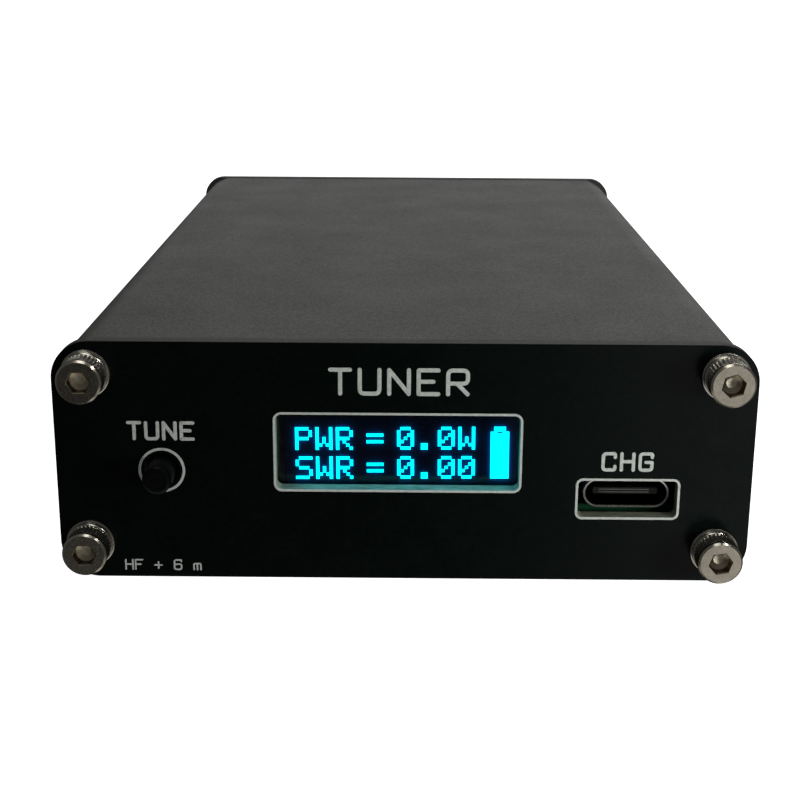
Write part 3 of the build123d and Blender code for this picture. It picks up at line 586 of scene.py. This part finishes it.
RING_R = 2.25
printed("print_title", lettering("TUNER", -7.47, 20.13, 2.48, 2.95, 0.42, FRONT_Y, -1, 1.15))
printed("print_tune", lettering("TUNE", -27.96, 15.18, 1.71, 1.79, 0.35, FRONT_Y, -1))
printed("print_charge", lettering("CHG", 20.20, 12.20, 1.75, 1.88, 0.35, FRONT_Y, -1))
printed("print_bands", lettering("HF + 6 m", -28.87, 0.85, 1.05, 1.01, 0.17, FRONT_Y, -1))
outline("print_window_frame", rounded_rect(*WINDOW[:2], 25.05, 8.27, 0.75), 0.24)
outline("print_charge_frame", rounded_rect(*CHARGE_CUT[:2], 10.42, 4.22, 0.62), 0.25)
outline("print_button_ring", circle_points(BUTTON_X, BUTTON_Z, RING_R, 64), 0.27)
printed(
    "print_rear_labels",
    lettering("IN", COAX_X + 1.3, 21.3, 1.5, 1.6, 0.3, REAR_Y, 1)
    + lettering("OUT", -COAX_X + 2.1, 21.3, 1.5, 1.6, 0.3, REAR_Y, 1)
    + lettering("CTRL", 2.9, 17.0, 1.5, 1.6, 0.3, REAR_Y, 1),
)


# ---- fasteners ----

HEAD_R = 2.25
KNURLS = 36
KNURL_DEPTH = 0.13
HEXAGON_R = 1.155
SHANK_R = 1.2
SHANK_LEN = 6.4
# The socket's walls, and the chamfer into them, are painted darker and browner than the head's steel: painted
# shade in the recess.
SOCKET_WALL_SHADE = plated_steel("socket_wall_painted_shade", (0.20, 0.165, 0.11), (0.12, 0.10, 0.065), 0.38)
# The knurled band is painted darker than the head's face: painted shade in the knurls' grooves.
KNURL = plated_steel("knurl_nickel_painted_shade", (0.40, 0.39, 0.35), (0.30, 0.29, 0.26), 0.36, 0.12)
# The drilled bottom is painted lighter than the head's steel, and its tip lighter still and partly
# non-metallic: a painted glint in the socket.
SOCKET_CONE_GLINT = plated_steel("socket_cone_painted_glint", (0.70, 0.62, 0.45), (0.52, 0.45, 0.32), 0.36)
SOCKET_TIP_GLINT = plated_steel("socket_tip_painted_glint", (1.0, 0.94, 0.76), (0.92, 0.84, 0.64), 0.34)
SOCKET_TIP_GLINT.node_tree.nodes["Principled BSDF"].inputs["Metallic"].default_value = 0.15
SCREW_FINISHES = [MAT["screw_steel"], SOCKET_WALL_SHADE, SOCKET_CONE_GLINT, KNURL, SOCKET_TIP_GLINT]
STEEL, WALL, CONE, BAND, TIP = range(len(SCREW_FINISHES))


def screw_head(x, z, face_y, out, turn_deg):
    """A socket cap head: knurled band, smooth crown with a chamfer, hexagon socket with a drilled bottom.

    Returns its vertices, its faces and the finish of each face.
    """
    base = WASHER_T + SPRING_T
    top = base + HEAD_H
    r = HEAD_R
    side = [
        (1.30, base, 0), (r - 0.14, base, 0), (r - 0.03, base + 0.08, 0), (r, base + 0.16, KNURL_DEPTH),
        (r, base + 0.6, KNURL_DEPTH), (r, base + 1.1, KNURL_DEPTH), (r, base + 1.66, KNURL_DEPTH),
        (r - 0.02, base + 1.76, 0.02), (r, base + 1.84, 0), (r, top - 0.20, 0), (r - 0.20, top, 0),
        (1.45, top, 0),
    ]
    knurled = range(3, 8)
    steps = KNURLS * 6
    rows = len(side)
    verts, faces = lathe(x, z, face_y, out, side, steps, KNURLS)
    faces = [f for f in faces if not {0, rows - 1} <= {i % rows for i in f}]
    finish = [BAND if all(i % rows in knurled for i in f) else STEEL for f in faces]

    # The socket's rings: size against the hexagon, height, hexagonal or round, finish of the band above.
    socket = [
        (1.10, top, True, STEEL), (1.0, top - 0.09, True, WALL), (1.0, top - 0.92, True, WALL),
        (0.90, top - 0.97, False, WALL), (0.45, top - 1.20, False, CONE), (0.03, top - 1.42, False, TIP),
    ]
    ring = [i * rows + rows - 1 for i in range(steps)]
    for scale, height, hexagonal, ring_finish in socket:
        above, ring = ring, []
        for i in range(steps):
            angle = 2 * math.pi * i / steps
            local = (angle - math.radians(turn_deg)) % (math.pi / 3) - math.pi / 6
            flat = math.cos(math.pi / 6) / math.cos(local)
            radius = scale * HEXAGON_R * (flat if hexagonal else 0.98)
            ring.append(len(verts))
            verts.append((x + radius * math.cos(angle), face_y + out * height, z + radius * math.sin(angle)))
        for i in range(steps):
            j = (i + 1) % steps
            faces.append([above[i], ring[i], ring[j], above[j]])
            finish.append(ring_finish)
    faces.append(ring)
    finish.append(TIP)

    bearing = [i * rows for i in range(steps)]
    shank = []
    for i in range(steps):
        angle = 2 * math.pi * i / steps
        shank.append(len(verts))
        verts.append((x + SHANK_R * math.cos(angle), face_y - out * SHANK_LEN, z + SHANK_R * math.sin(angle)))
    for i in range(steps):
        j = (i + 1) % steps
        faces.append([bearing[i], bearing[j], shank[j], shank[i]])
    faces.append(list(reversed(shank)))
    finish += [STEEL] * (len(faces) - len(finish))
    return verts, faces, finish


def spring_washer(x, z, face_y, out, gap_deg):
    """A split ring of square wire, its two ends a little out of line."""
    verts = []
    faces = []
    steps = 80
    opening = math.radians(12)
    offset = 0.06
    clear = 0.02
    r_out, r_in, bevel = 2.32, 1.38, 0.07
    for i in range(steps + 1):
        t = i / steps
        angle = math.radians(gap_deg) + opening / 2 + (2 * math.pi - opening) * t
        rise = WASHER_T + offset * (t - 0.5)
        low, high = rise + clear, rise + SPRING_T - clear
        section = [
            (r_in + bevel, low), (r_out - bevel, low), (r_out, low + bevel), (r_out, high - bevel),
            (r_out - bevel, high), (r_in + bevel, high), (r_in, high - bevel), (r_in, low + bevel),
        ]
        for r, h in section:
            verts.append((x + r * math.cos(angle), face_y + out * h, z + r * math.sin(angle)))
    n = len(section)
    for i in range(steps):
        for k in range(n):
            m = (k + 1) % n
            faces.append([i * n + k, i * n + m, (i + 1) * n + m, (i + 1) * n + k])
    faces.append(list(range(n)))
    faces.append([steps * n + k for k in reversed(range(n))])
    return verts, faces


FLAT_WASHER = plain([
    (1.40, 0.0), (2.40, 0.0), (2.49, 0.06), (2.50, 0.14), (2.50, 0.36), (2.46, 0.45), (2.38, 0.5),
    (1.46, 0.5), (1.40, 0.44),
])
# For the screws in the order of screw_places, in degrees: the socket's turn and where the washer's gap is.
TURNS = [3, 1, 10, 17]
GAPS = [200, 130, 65, 20]

for end, face_y, out in (("front", FRONT_Y, -1), ("rear", REAR_Y, 1)):
    heads = []
    head_finishes = []
    springs = []
    flats = []
    for (x, z), (dx, dz), turn, gap in zip(screw_places, PLAY[end], TURNS, GAPS):
        place = (x + dx, z + dz, face_y, out)
        *head, head_finish = screw_head(*place, turn)
        heads.append(head)
        head_finishes += head_finish
        springs.append(spring_washer(*place, gap))
        flats.append(lathe(*place, FLAT_WASHER, 72))
    for name, parts, slot, materials, finishes, node in (
        ("cap_screws", heads, "screw_steel", SCREW_FINISHES, head_finishes, "screws"),
        ("split_washers", springs, "washer_steel", [MAT["washer_steel"]], None, "spring_washers"),
        ("plain_washers", flats, "washer_steel", [MAT["washer_steel"]], None, "flat_washers"),
    ):
        piece = mesh(f"{end}_{name}", *join_parts(parts), materials, slot, HOUSING, 28, finishes)
        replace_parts(piece, f"{end}_{node}")


# ---- push button ----

button_low, button_high = box_mm("tune_button")
reach = FRONT_Y - button_low.y
root = FRONT_Y - button_high.y
ROD_R = 1.48
rod = [
    (0.0, reach), (0.55, reach), (0.62, reach - 0.02), (0.70, reach), (1.10, reach), (1.26, reach - 0.03),
    (1.38, reach - 0.10), (1.46, reach - 0.22), (ROD_R, reach - 0.36), (ROD_R, -2.0), (ROD_R, -3.32),
    (2.1, -3.35), (2.1, -4.1), (0.9, -4.12), (0.9, root), (0.0, root),
]
verts, faces = lathe(BUTTON_X, BUTTON_Z, FRONT_Y, -1, plain(rod), 72)
button = mesh("tune_button_rod", verts, faces, [MAT["button_black"]], "button_black", BUTTON, 40)
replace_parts(button, "tune_button")

# The snap dome: a thin arched shell with a flat top, as wide and as high as the CAD dome.
DOME_T = 0.1
NUB_R = 0.9
DOME_STEPS = 6
dome_low, dome_high = box_mm("switch_dome")
dome_r = (dome_high.x - dome_low.x) / 2
dome_h = dome_high.y - dome_low.y
rise = dome_h - DOME_T
slopes = [k / DOME_STEPS for k in range(DOME_STEPS + 1)]
arch = [(NUB_R + (dome_r - NUB_R) * t, DOME_T + rise * math.cos(math.pi / 2 * t)) for t in slopes]
under = [(r, h - DOME_T) for r, h in reversed(arch)]
profile = [(0.0, dome_h)] + arch + under + [(0.0, dome_h - DOME_T)]
verts, faces = lathe(BUTTON_X, BUTTON_Z, dome_high.y, -1, plain(profile), 48)
dome = mesh("switch_snap_dome", verts, faces, [MAT["spring_steel"]], "spring_steel")
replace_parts(dome, "switch_dome")
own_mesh(dome)


# ---- display ----

# A lamp is needed here already, for the light that the display throws on its window.


def area_light(name, place, target, size, power, colour=(1, 1, 1)):
    """A rectangular lamp, pointed at the target; its places and size are in metres."""
    lamp = bpy.data.lights.new(name, "AREA")
    lamp.shape = "RECTANGLE"
    lamp.size, lamp.size_y = size
    lamp.energy = power
    lamp.color = colour
    obj = bpy.data.objects.new(name, lamp)
    bpy.context.scene.collection.objects.link(obj)
    obj.location = place
    obj.rotation_euler = (Vector(target) - Vector(place)).to_track_quat("-Z", "Y").to_euler()
    return obj


# Each character is 5 cells wide and 7 high, top row first.
ROWS = {
    "P": ["11110", "10001", "10001", "11110", "10000", "10000", "10000"],
    "W": ["10001", "10001", "10001", "10101", "10101", "11011", "10001"],
    "R": ["11110", "10001", "10001", "11110", "10100", "10010", "10001"],
    "S": ["01111", "10000", "10000", "01110", "00001", "00001", "11110"],
    "0": ["01110", "10001", "10011", "10101", "11001", "10001", "01110"],
    "=": ["00000", "00000", "11111", "00000", "11111", "00000", "00000"],
    ".": ["00000", "00000", "00000", "00000", "00000", "01100", "01100"],
}
LINES = (("PWR=0.0W", 0), ("SWR=0.00", 18))
COLUMNS = [0, 12, 24, 42, 60, 72, 84, 96]
CELLS_X, CELLS_Y = 128, 32
CELL_W = 0.175
CELL_H = 0.177
CELL_GAP = 0.03
CELL_Y = FRONT_Y + 2.45
GLOW_BEHIND = 0.02
GLOW_MARGIN = 6
DISPLAY_X = -0.05
DISPLAY_LIFT = 0.06
DISPLAY_TURN = math.radians(0.6)


def display_pattern():
    """Which cells are lit: two lines of characters at double size, and a full battery with its cap."""
    lit = np.zeros((CELLS_Y, CELLS_X))
    for text, top in LINES:
        for letter, left in zip(text, COLUMNS):
            for r, row in enumerate(ROWS[letter]):
                for c, dot in enumerate(row):
                    if dot == "1":
                        lit[top + 2 * r:top + 2 * r + 2, left + 2 * c:left + 2 * c + 2] = 1
    # The battery's body, its cap and the dark line between them.
    lit[3:32, 115:126] = 1
    lit[0:3, 117:124] = 1
    lit[3, 119:122] = 0
    return lit


def soften(image, radius):
    """A Gaussian blur, one direction after the other."""
    reach = int(3 * radius) + 1
    weights = np.exp(-0.5 * (np.arange(-reach, reach + 1) / radius) ** 2)
    weights /= weights.sum()
    for axis in (0, 1):
        image = np.apply_along_axis(lambda line: np.convolve(line, weights, mode="same"), axis, image)
    return image


def emitter(name, colour_stops, strength):
    """Light from the display: its colour follows the glow that is stored on the mesh."""
    m = new_material(name, (0.0, 0.0, 0.0), 0.5, 0.0, 0.0)
    shader = m.node_tree.nodes["Principled BSDF"]
    glow = add_node(m, "ShaderNodeAttribute")
    glow.attribute_name = "glow"
    ramp = add_node(m, "ShaderNodeValToRGB")
    set_stops(ramp, colour_stops)
    link(m, glow, "Fac", ramp, "Fac")
    link(m, ramp, "Color", shader, "Emission Color")
    shader.inputs["Emission Strength"].default_value = strength
    return m


def cell_corner(col, row, y):
    """Where a cell's corner is, on the slightly turned display."""
    low, high = box_mm("display_glass")
    across = (col - CELLS_X / 2) * CELL_W
    up = (CELLS_Y / 2 - row) * CELL_H
    x = DISPLAY_X + across * math.cos(DISPLAY_TURN) - up * math.sin(DISPLAY_TURN)
    z = (low.z + high.z) / 2 + DISPLAY_LIFT + across * math.sin(DISPLAY_TURN) + up * math.cos(DISPLAY_TURN)
    return x, y, z


def display_glow(lit):
    """A soft blue glow behind and around the lit cells, stored as a value on each vertex."""
    padded = np.pad(lit, GLOW_MARGIN)
    halo = 0.50 * soften(padded, 1.1) + 0.35 * soften(padded, 3.0)
    verts = []
    faces = []
    values = []
    rows, cols = padded.shape
    for r in range(rows + 1):
        for c in range(cols + 1):
            verts.append(cell_corner(c - GLOW_MARGIN, r - GLOW_MARGIN, CELL_Y + GLOW_BEHIND))
            around = halo[max(r - 1, 0):r + 1, max(c - 1, 0):c + 1]
            values.append(float(around.mean()))
    for r in range(rows):
        for c in range(cols):
            i = r * (cols + 1) + c
            faces.append([i, i + cols + 1, i + cols + 2, i + 1])
    stops = [
        (0.0, (0.0, 0.001, 0.004)), (0.10, (0.0, 0.007, 0.026)), (0.40, (0.0, 0.045, 0.22)),
        (1.0, (0.0, 0.35, 0.9)),
    ]
    glow = mesh("display_glow", verts, faces, [emitter("display_glow", stops, 1.0)], "display_lit")
    attribute = glow.data.attributes.new("glow", "FLOAT", "POINT")
    attribute.data.foreach_set("value", values)


def display_cells(lit):
    """The lit cells, each a small square with a dark gap round it."""
    verts = []
    faces = []
    for r, c in np.argwhere(lit > 0):
        start = len(verts)
        left, right = c + CELL_GAP, c + 1 - CELL_GAP
        top, bottom = r + CELL_GAP, r + 1 - CELL_GAP
        for col, row in ((left, bottom), (right, bottom), (right, top), (left, top)):
            verts.append(cell_corner(col, row, CELL_Y))
        faces.append([start, start + 1, start + 2, start + 3])
    material = new_material("display_cells", (0.0, 0.0, 0.0), 0.5, 0.0, 0.0)
    shader = material.node_tree.nodes["Principled BSDF"]
    shader.inputs["Emission Color"].default_value = (0.0, 0.92, 1.0, 1)
    shader.inputs["Emission Strength"].default_value = 2.4
    mesh("display_cells", verts, faces, [material], "display_lit")


def slab(x0, x1, y0, y1, z0, z1, bevel):
    """A block with chamfered edges as a closed mesh."""
    bm = bmesh.new()
    bmesh.ops.create_cube(bm, size=1)
    for v in bm.verts:
        v.co = Vector((x0 if v.co.x < 0 else x1, y0 if v.co.y < 0 else y1, z0 if v.co.z < 0 else z1))
    bmesh.ops.bevel(bm, geom=bm.edges[:], offset=bevel, segments=2, affect="EDGES")
    verts = [tuple(v.co) for v in bm.verts]
    index = {v: i for i, v in enumerate(bm.verts)}
    faces = [[index[v] for v in f.verts] for f in bm.faces]
    bm.free()
    return verts, faces


pattern = display_pattern()
display_glow(pattern)
display_cells(pattern)

# The glass is a dark back behind the cells and a clear cover before them.
GLASS_BEVEL = 0.05
glass_low, glass_high = box_mm("display_glass")
glass_x = (glass_low.x, glass_high.x)
glass_z = (glass_low.z, glass_high.z)
verts, faces = slab(*glass_x, CELL_Y + 0.06, glass_high.y, *glass_z, GLASS_BEVEL)
backing = mesh("display_glass_back", verts, faces, [MAT["display_glass"]], "display_glass")
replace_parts(backing, "display_glass")
cover_material = new_material("display_cover_clear", (1.0, 1.0, 1.0), 0.04, 0.0, 0.05)
cover_material.node_tree.nodes["Principled BSDF"].inputs["Transmission Weight"].default_value = 1.0
verts, faces = slab(*glass_x, glass_low.y, CELL_Y - 0.05, *glass_z, GLASS_BEVEL)
mesh("display_glass_cover", verts, faces, [cover_material], "display_glass")

# What the lit cells throw on the edges of the window.
spill_place = (-0.00005, (FRONT_Y + 1.82) * MM, 0.01299)
spill_ahead = (spill_place[0], -1.0, spill_place[2])
spill = area_light("display_spill", spill_place, spill_ahead, (0.0224, 0.0056), 0.0010, (0.0, 0.75, 1.0))
spill.visible_camera = False
spill.visible_glossy = False


# ---- charge socket ----


def socket_shell():
    """A drawn steel shell with a rounded lip, open at the front; its inner wall is painted dark as shade."""
    low, high = box_mm("charge_socket_shell")
    width = high.x - low.x
    height = 3.26
    corner = 1.6
    wall = 0.3
    lip = 0.12
    length = high.y - low.y
    cx = (low.x + high.x) / 2
    cz = high.z - height / 2
    loops = []
    for inset, depth in (
        (lip * 0.9, 0.0), (lip * 0.3, lip * 0.3), (0, lip), (0, length), (wall, length), (wall, lip * 1.2),
        (wall - lip * 0.5, lip * 0.3),
    ):
        points = rounded_rect(cx, cz, width - 2 * inset, height - 2 * inset, corner - inset, 12)
        loops.append([(x, low.y + depth, z) for x, z in points])
    inner_wall = 4
    verts = [v for loop in loops for v in loop]
    n = len(loops[0])
    faces = []
    finish = []
    for k in range(len(loops)):
        m = (k + 1) % len(loops)
        for i in range(n):
            j = (i + 1) % n
            faces.append([k * n + i, k * n + j, m * n + j, m * n + i])
            finish.append(1 if k == inner_wall else 0)
    # The inner wall's dark steel is painted shade inside the socket.
    inside = plated_steel("socket_steel_inside_painted_shade", (0.10, 0.095, 0.09), (0.06, 0.057, 0.054), 0.35)
    materials = [MAT["socket_steel"], inside]
    piece = mesh("charge_socket_can", verts, faces, materials, "socket_steel", face_materials=finish)
    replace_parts(piece, "charge_socket_shell")


def tongue_plate():
    """Two thin steel edges on the end of the socket's tongue."""
    low, high = box_mm("charge_socket_tongue")
    x = (low.x + high.x) / 2
    proud, depth = 0.03, 0.4
    half_t, half_apart, bevel = 0.05, 0.14, 0.01
    strips = []
    for side in (-1, 1):
        z = (low.z + high.z) / 2 + side * half_apart
        strips.append(slab(x - 2.75, x + 2.45, low.y - proud, low.y + depth, z - half_t, z + half_t, bevel))
    verts, faces = join_parts(strips)
    steel = plated_steel("tongue_plate_steel", (0.40, 0.39, 0.37), (0.24, 0.235, 0.22), 0.35, 0.3)
    mesh("charge_tongue_plate", verts, faces, [steel], "socket_steel")


socket_shell()
tongue_plate()
# The contacts' gold is painted much darker than the gold plate elsewhere: painted shade deep in the socket.
contact_gold = plated_steel("contact_gold_painted_shade", (0.20, 0.15, 0.07), (0.12, 0.09, 0.045), 0.35)
contacts = frame["nodes"]["charge_socket_contacts"].data
contacts.materials.clear()
contacts.materials.append(contact_gold)


# ---- rear sockets ----

FLANGE_T = 2.2
COAX_END = FLANGE_T + 12.0
COLLAR_LEN = 3.7
GROOVES = 9
GROOVE_PITCH = 0.8
STUD_BACK = 5.0


def bayonet_stud(x, side):
    """A round stud on the collar's neck, above or below it."""
    rows = [(0.0, 5.45), (0.8, 5.45), (0.95, 5.35), (1.0, 5.2), (1.0, 4.2), (0.0, 4.2)]
    n = len(rows)
    steps = 32
    verts = []
    faces = []
    for i in range(steps):
        angle = 2 * math.pi * i / steps
        for r, h in rows:
            y = REAR_Y + COAX_END - STUD_BACK + r * math.sin(angle)
            verts.append((x + r * math.cos(angle), y, COAX_Z + side * h))
    for i in range(steps):
        j = (i + 1) % steps
        for k in range(n - 1):
            faces.append([i * n + k, i * n + k + 1, j * n + k + 1, j * n + k])
    return verts, faces


def coax_body(x):
    """A bayonet coax socket: round flange, grooved rear, neck with two studs and a rolled front collar."""
    end = COAX_END
    collar = end - COLLAR_LEN
    r = THREAD_R
    outer = [(3.2, -8.0), (4.2, -8.0), (r, -7.7)]
    for k in range(GROOVES):
        h = -7.6 + k * GROOVE_PITCH
        outer += [(r, h), (r, h + 0.2), (r - 0.28, h + 0.4), (r - 0.28, h + 0.5), (r, h + 0.7)]
    outer += [
        (r, -0.1), (6.7, -0.0), (7.0, 0.25), (7.0, 1.8), (6.6, 2.15), (5.2, FLANGE_T), (4.55, 2.3),
        (4.3, 2.6), (4.3, collar - 0.5), (4.4, collar - 0.15), (4.8, collar), (4.8, end - 0.35),
        (4.72, end - 0.1), (4.5, end), (4.25, end), (4.08, end - 0.15), (4.05, end - 0.4), (4.05, 3.3),
        (4.0, 3.2), (3.2, 3.2),
    ]
    body = lathe(x, COAX_Z, REAR_Y, 1, plain(outer), 96)
    return join_parts([body, bayonet_stud(x, -1), bayonet_stud(x, 1)])


for name, x in (("left", -COAX_X), ("right", COAX_X)):
    verts, faces = coax_body(x)
    piece = mesh(f"coax_{name}_shell", verts, faces, [MAT["coax_nickel"]], "coax_nickel")
    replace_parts(piece, f"coax_socket_{name}_body")

RING_KNURLS = 40
ring_nut = [
    (3.05, 0.0, 0), (4.05, 0.0, 0), (4.2, 0.12, 0), (4.2, 0.25, 0.14), (4.2, 1.2, 0.14), (4.2, 1.4, 0.05),
    (4.1, 1.6, 0), (3.85, 1.8, 0), (3.25, 1.8, 0), (3.05, 1.6, 0),
]
verts, faces = lathe(0, JACK_Z, REAR_Y, 1, ring_nut, RING_KNURLS * 8, RING_KNURLS)
nut = mesh("control_jack_ring_nut", verts, faces, [MAT["coax_nickel"]], "coax_nickel")
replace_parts(nut, "control_jack_nut")


# ---- stage, light and camera ----

ROOM = (0.08, 0.08, 0.079)
TABLE = (0.72, 0.70, 0.665)
# The brightness of the surroundings below the horizon, from the far left (0) to the far right (1).
HORIZON = [
    (0.0, 0.07), (0.35, 0.025), (0.535, 0.012), (0.575, 0.25), (0.61, 0.68), (0.68, 0.5), (0.76, 0.10),
    (1.0, 0.08),
]


def world_light():
    """Studio surroundings: a dim room, and below the horizon a bright patch to the right of the middle.

    Directions that go steeply down and to the front meet a white table instead.
    """
    world = bpy.data.worlds.new("studio")
    bpy.context.scene.world = world
    world.use_nodes = True
    tree = world.node_tree
    place = tree.nodes.new("ShaderNodeTexCoord")
    split = tree.nodes.new("ShaderNodeSeparateXYZ")
    tree.links.new(place.outputs["Generated"], split.inputs["Vector"])

    def span(axis, low, high, interpolation="LINEAR"):
        """From 0 to 1 as the direction's component goes from low to high."""
        node = tree.nodes.new("ShaderNodeMapRange")
        node.inputs["From Min"].default_value = low
        node.inputs["From Max"].default_value = high
        node.interpolation_type = interpolation
        tree.links.new(split.outputs[axis], node.inputs["Value"])
        return node.outputs["Result"]

    def blend(share, first, second):
        """A colour output mixed with a fixed colour."""
        node = tree.nodes.new("ShaderNodeMix")
        node.data_type = "RGBA"
        colours = [socket for socket in node.inputs if socket.type == "RGBA"]
        tree.links.new(share, node.inputs["Factor"])
        tree.links.new(first, colours[0])
        colours[1].default_value = (*second, 1)
        return [socket for socket in node.outputs if socket.type == "RGBA"][0]

    horizon = tree.nodes.new("ShaderNodeValToRGB")
    set_stops(horizon, [(where, (level, level * 0.985, level * 0.95)) for where, level in HORIZON])
    tree.links.new(span("X", -1.0, 1.0), horizon.inputs["Fac"])
    room = blend(span("Z", -0.08, 0.10, "SMOOTHSTEP"), horizon.outputs["Color"], ROOM)
    both = tree.nodes.new("ShaderNodeMath")
    both.operation = "MULTIPLY"
    tree.links.new(span("Z", -0.45, -0.75, "SMOOTHSTEP"), both.inputs[0])
    tree.links.new(span("Y", 0.05, -0.25), both.inputs[1])
    surroundings = blend(both.outputs["Value"], room, TABLE)
    tree.links.new(surroundings, tree.nodes["Background"].inputs["Color"])


world_light()
WHITE = (1.0, 1.0, 0.98)
area_light("key_back", (0.05, 0.30, 0.42), (0, 0, 0.02), (0.24, 0.12), 0.42, WHITE)
area_light("strip_back", (0.05, 0.50, 0.09), (0, 0, 0.03), (0.50, 0.05), 0.22, WHITE)
area_light("overhead", (-0.09, -0.06, 0.45), (0, -0.02, 0.02), (0.50, 0.16), 0.54, WHITE)
area_light("glint_back", (0.16, 0.42, 0.20), (0.02, -0.03, 0.02), (0.06, 0.04), 0.035, (1.0, 0.99, 0.96))
fill_place = (0.11, -0.135, 0.02)
fill = area_light("fill_low_right", fill_place, (0.01, -0.06, 0.012), (0.05, 0.03), 0.125, (0.98, 1.0, 0.96))
fill.visible_glossy = False
area_light("glint_right", (0.12, -0.14, 0.16), (0, -0.06, 0.012), (0.02, 0.02), 0.03, (1.0, 0.99, 0.95))

# A white floor that glows by itself and lights nothing.
FLOOR_HALF = 6.0
floor_corners = [(x * FLOOR_HALF, y * FLOOR_HALF, 0) for x, y in ((-1, -1), (1, -1), (1, 1), (-1, 1))]
floor_data = bpy.data.meshes.new("floor")
floor_data.from_pydata(floor_corners, [], [[0, 1, 2, 3]])
floor_material = new_material("floor_white", (0.9, 0.9, 0.9), 0.9, 0.0, 0.1)
floor_shader = floor_material.node_tree.nodes["Principled BSDF"]
floor_shader.inputs["Emission Color"].default_value = (1, 1, 1, 1)
floor_shader.inputs["Emission Strength"].default_value = 0.97
floor_data.materials.append(floor_material)
floor = bpy.data.objects.new("floor", floor_data)
bpy.context.scene.collection.objects.link(floor)
floor.visible_glossy = False
floor.visible_diffuse = False
floor.visible_transmission = False

# The camera. Its place is measured from the foot of the front panel's middle.
CAMERA_OFFSET = Vector((0.064, -133.66, 61.398))
PITCH, YAW, ROLL = (math.radians(a) for a in (15.767, -0.241, 0.354))
LENS = 62.75115
SENSOR = 36.0
SHIFT_Y = -0.05
ahead = Vector((math.sin(YAW) * math.cos(PITCH), math.cos(YAW) * math.cos(PITCH), -math.sin(PITCH)))
level = Vector((math.cos(YAW), -math.sin(YAW), 0))
upward = level.cross(ahead)
right = level * math.cos(ROLL) + upward * math.sin(ROLL)
above = upward * math.cos(ROLL) - level * math.sin(ROLL)
camera_data = bpy.data.cameras.new("camera")
camera_data.sensor_width = SENSOR
camera_data.lens = LENS
camera_data.shift_y = SHIFT_Y
camera_data.clip_start = 0.005
camera = bpy.data.objects.new("camera", camera_data)
bpy.context.scene.collection.objects.link(camera)
turn = Matrix((right, above, -ahead)).transposed().to_4x4()
spot = (CAMERA_OFFSET + Vector((0, FRONT_Y, 0))) * MM
camera.matrix_world = Matrix.Translation(spot) @ turn
bpy.context.scene.camera = camera
bpy.context.scene.view_settings.view_transform = "Standard"
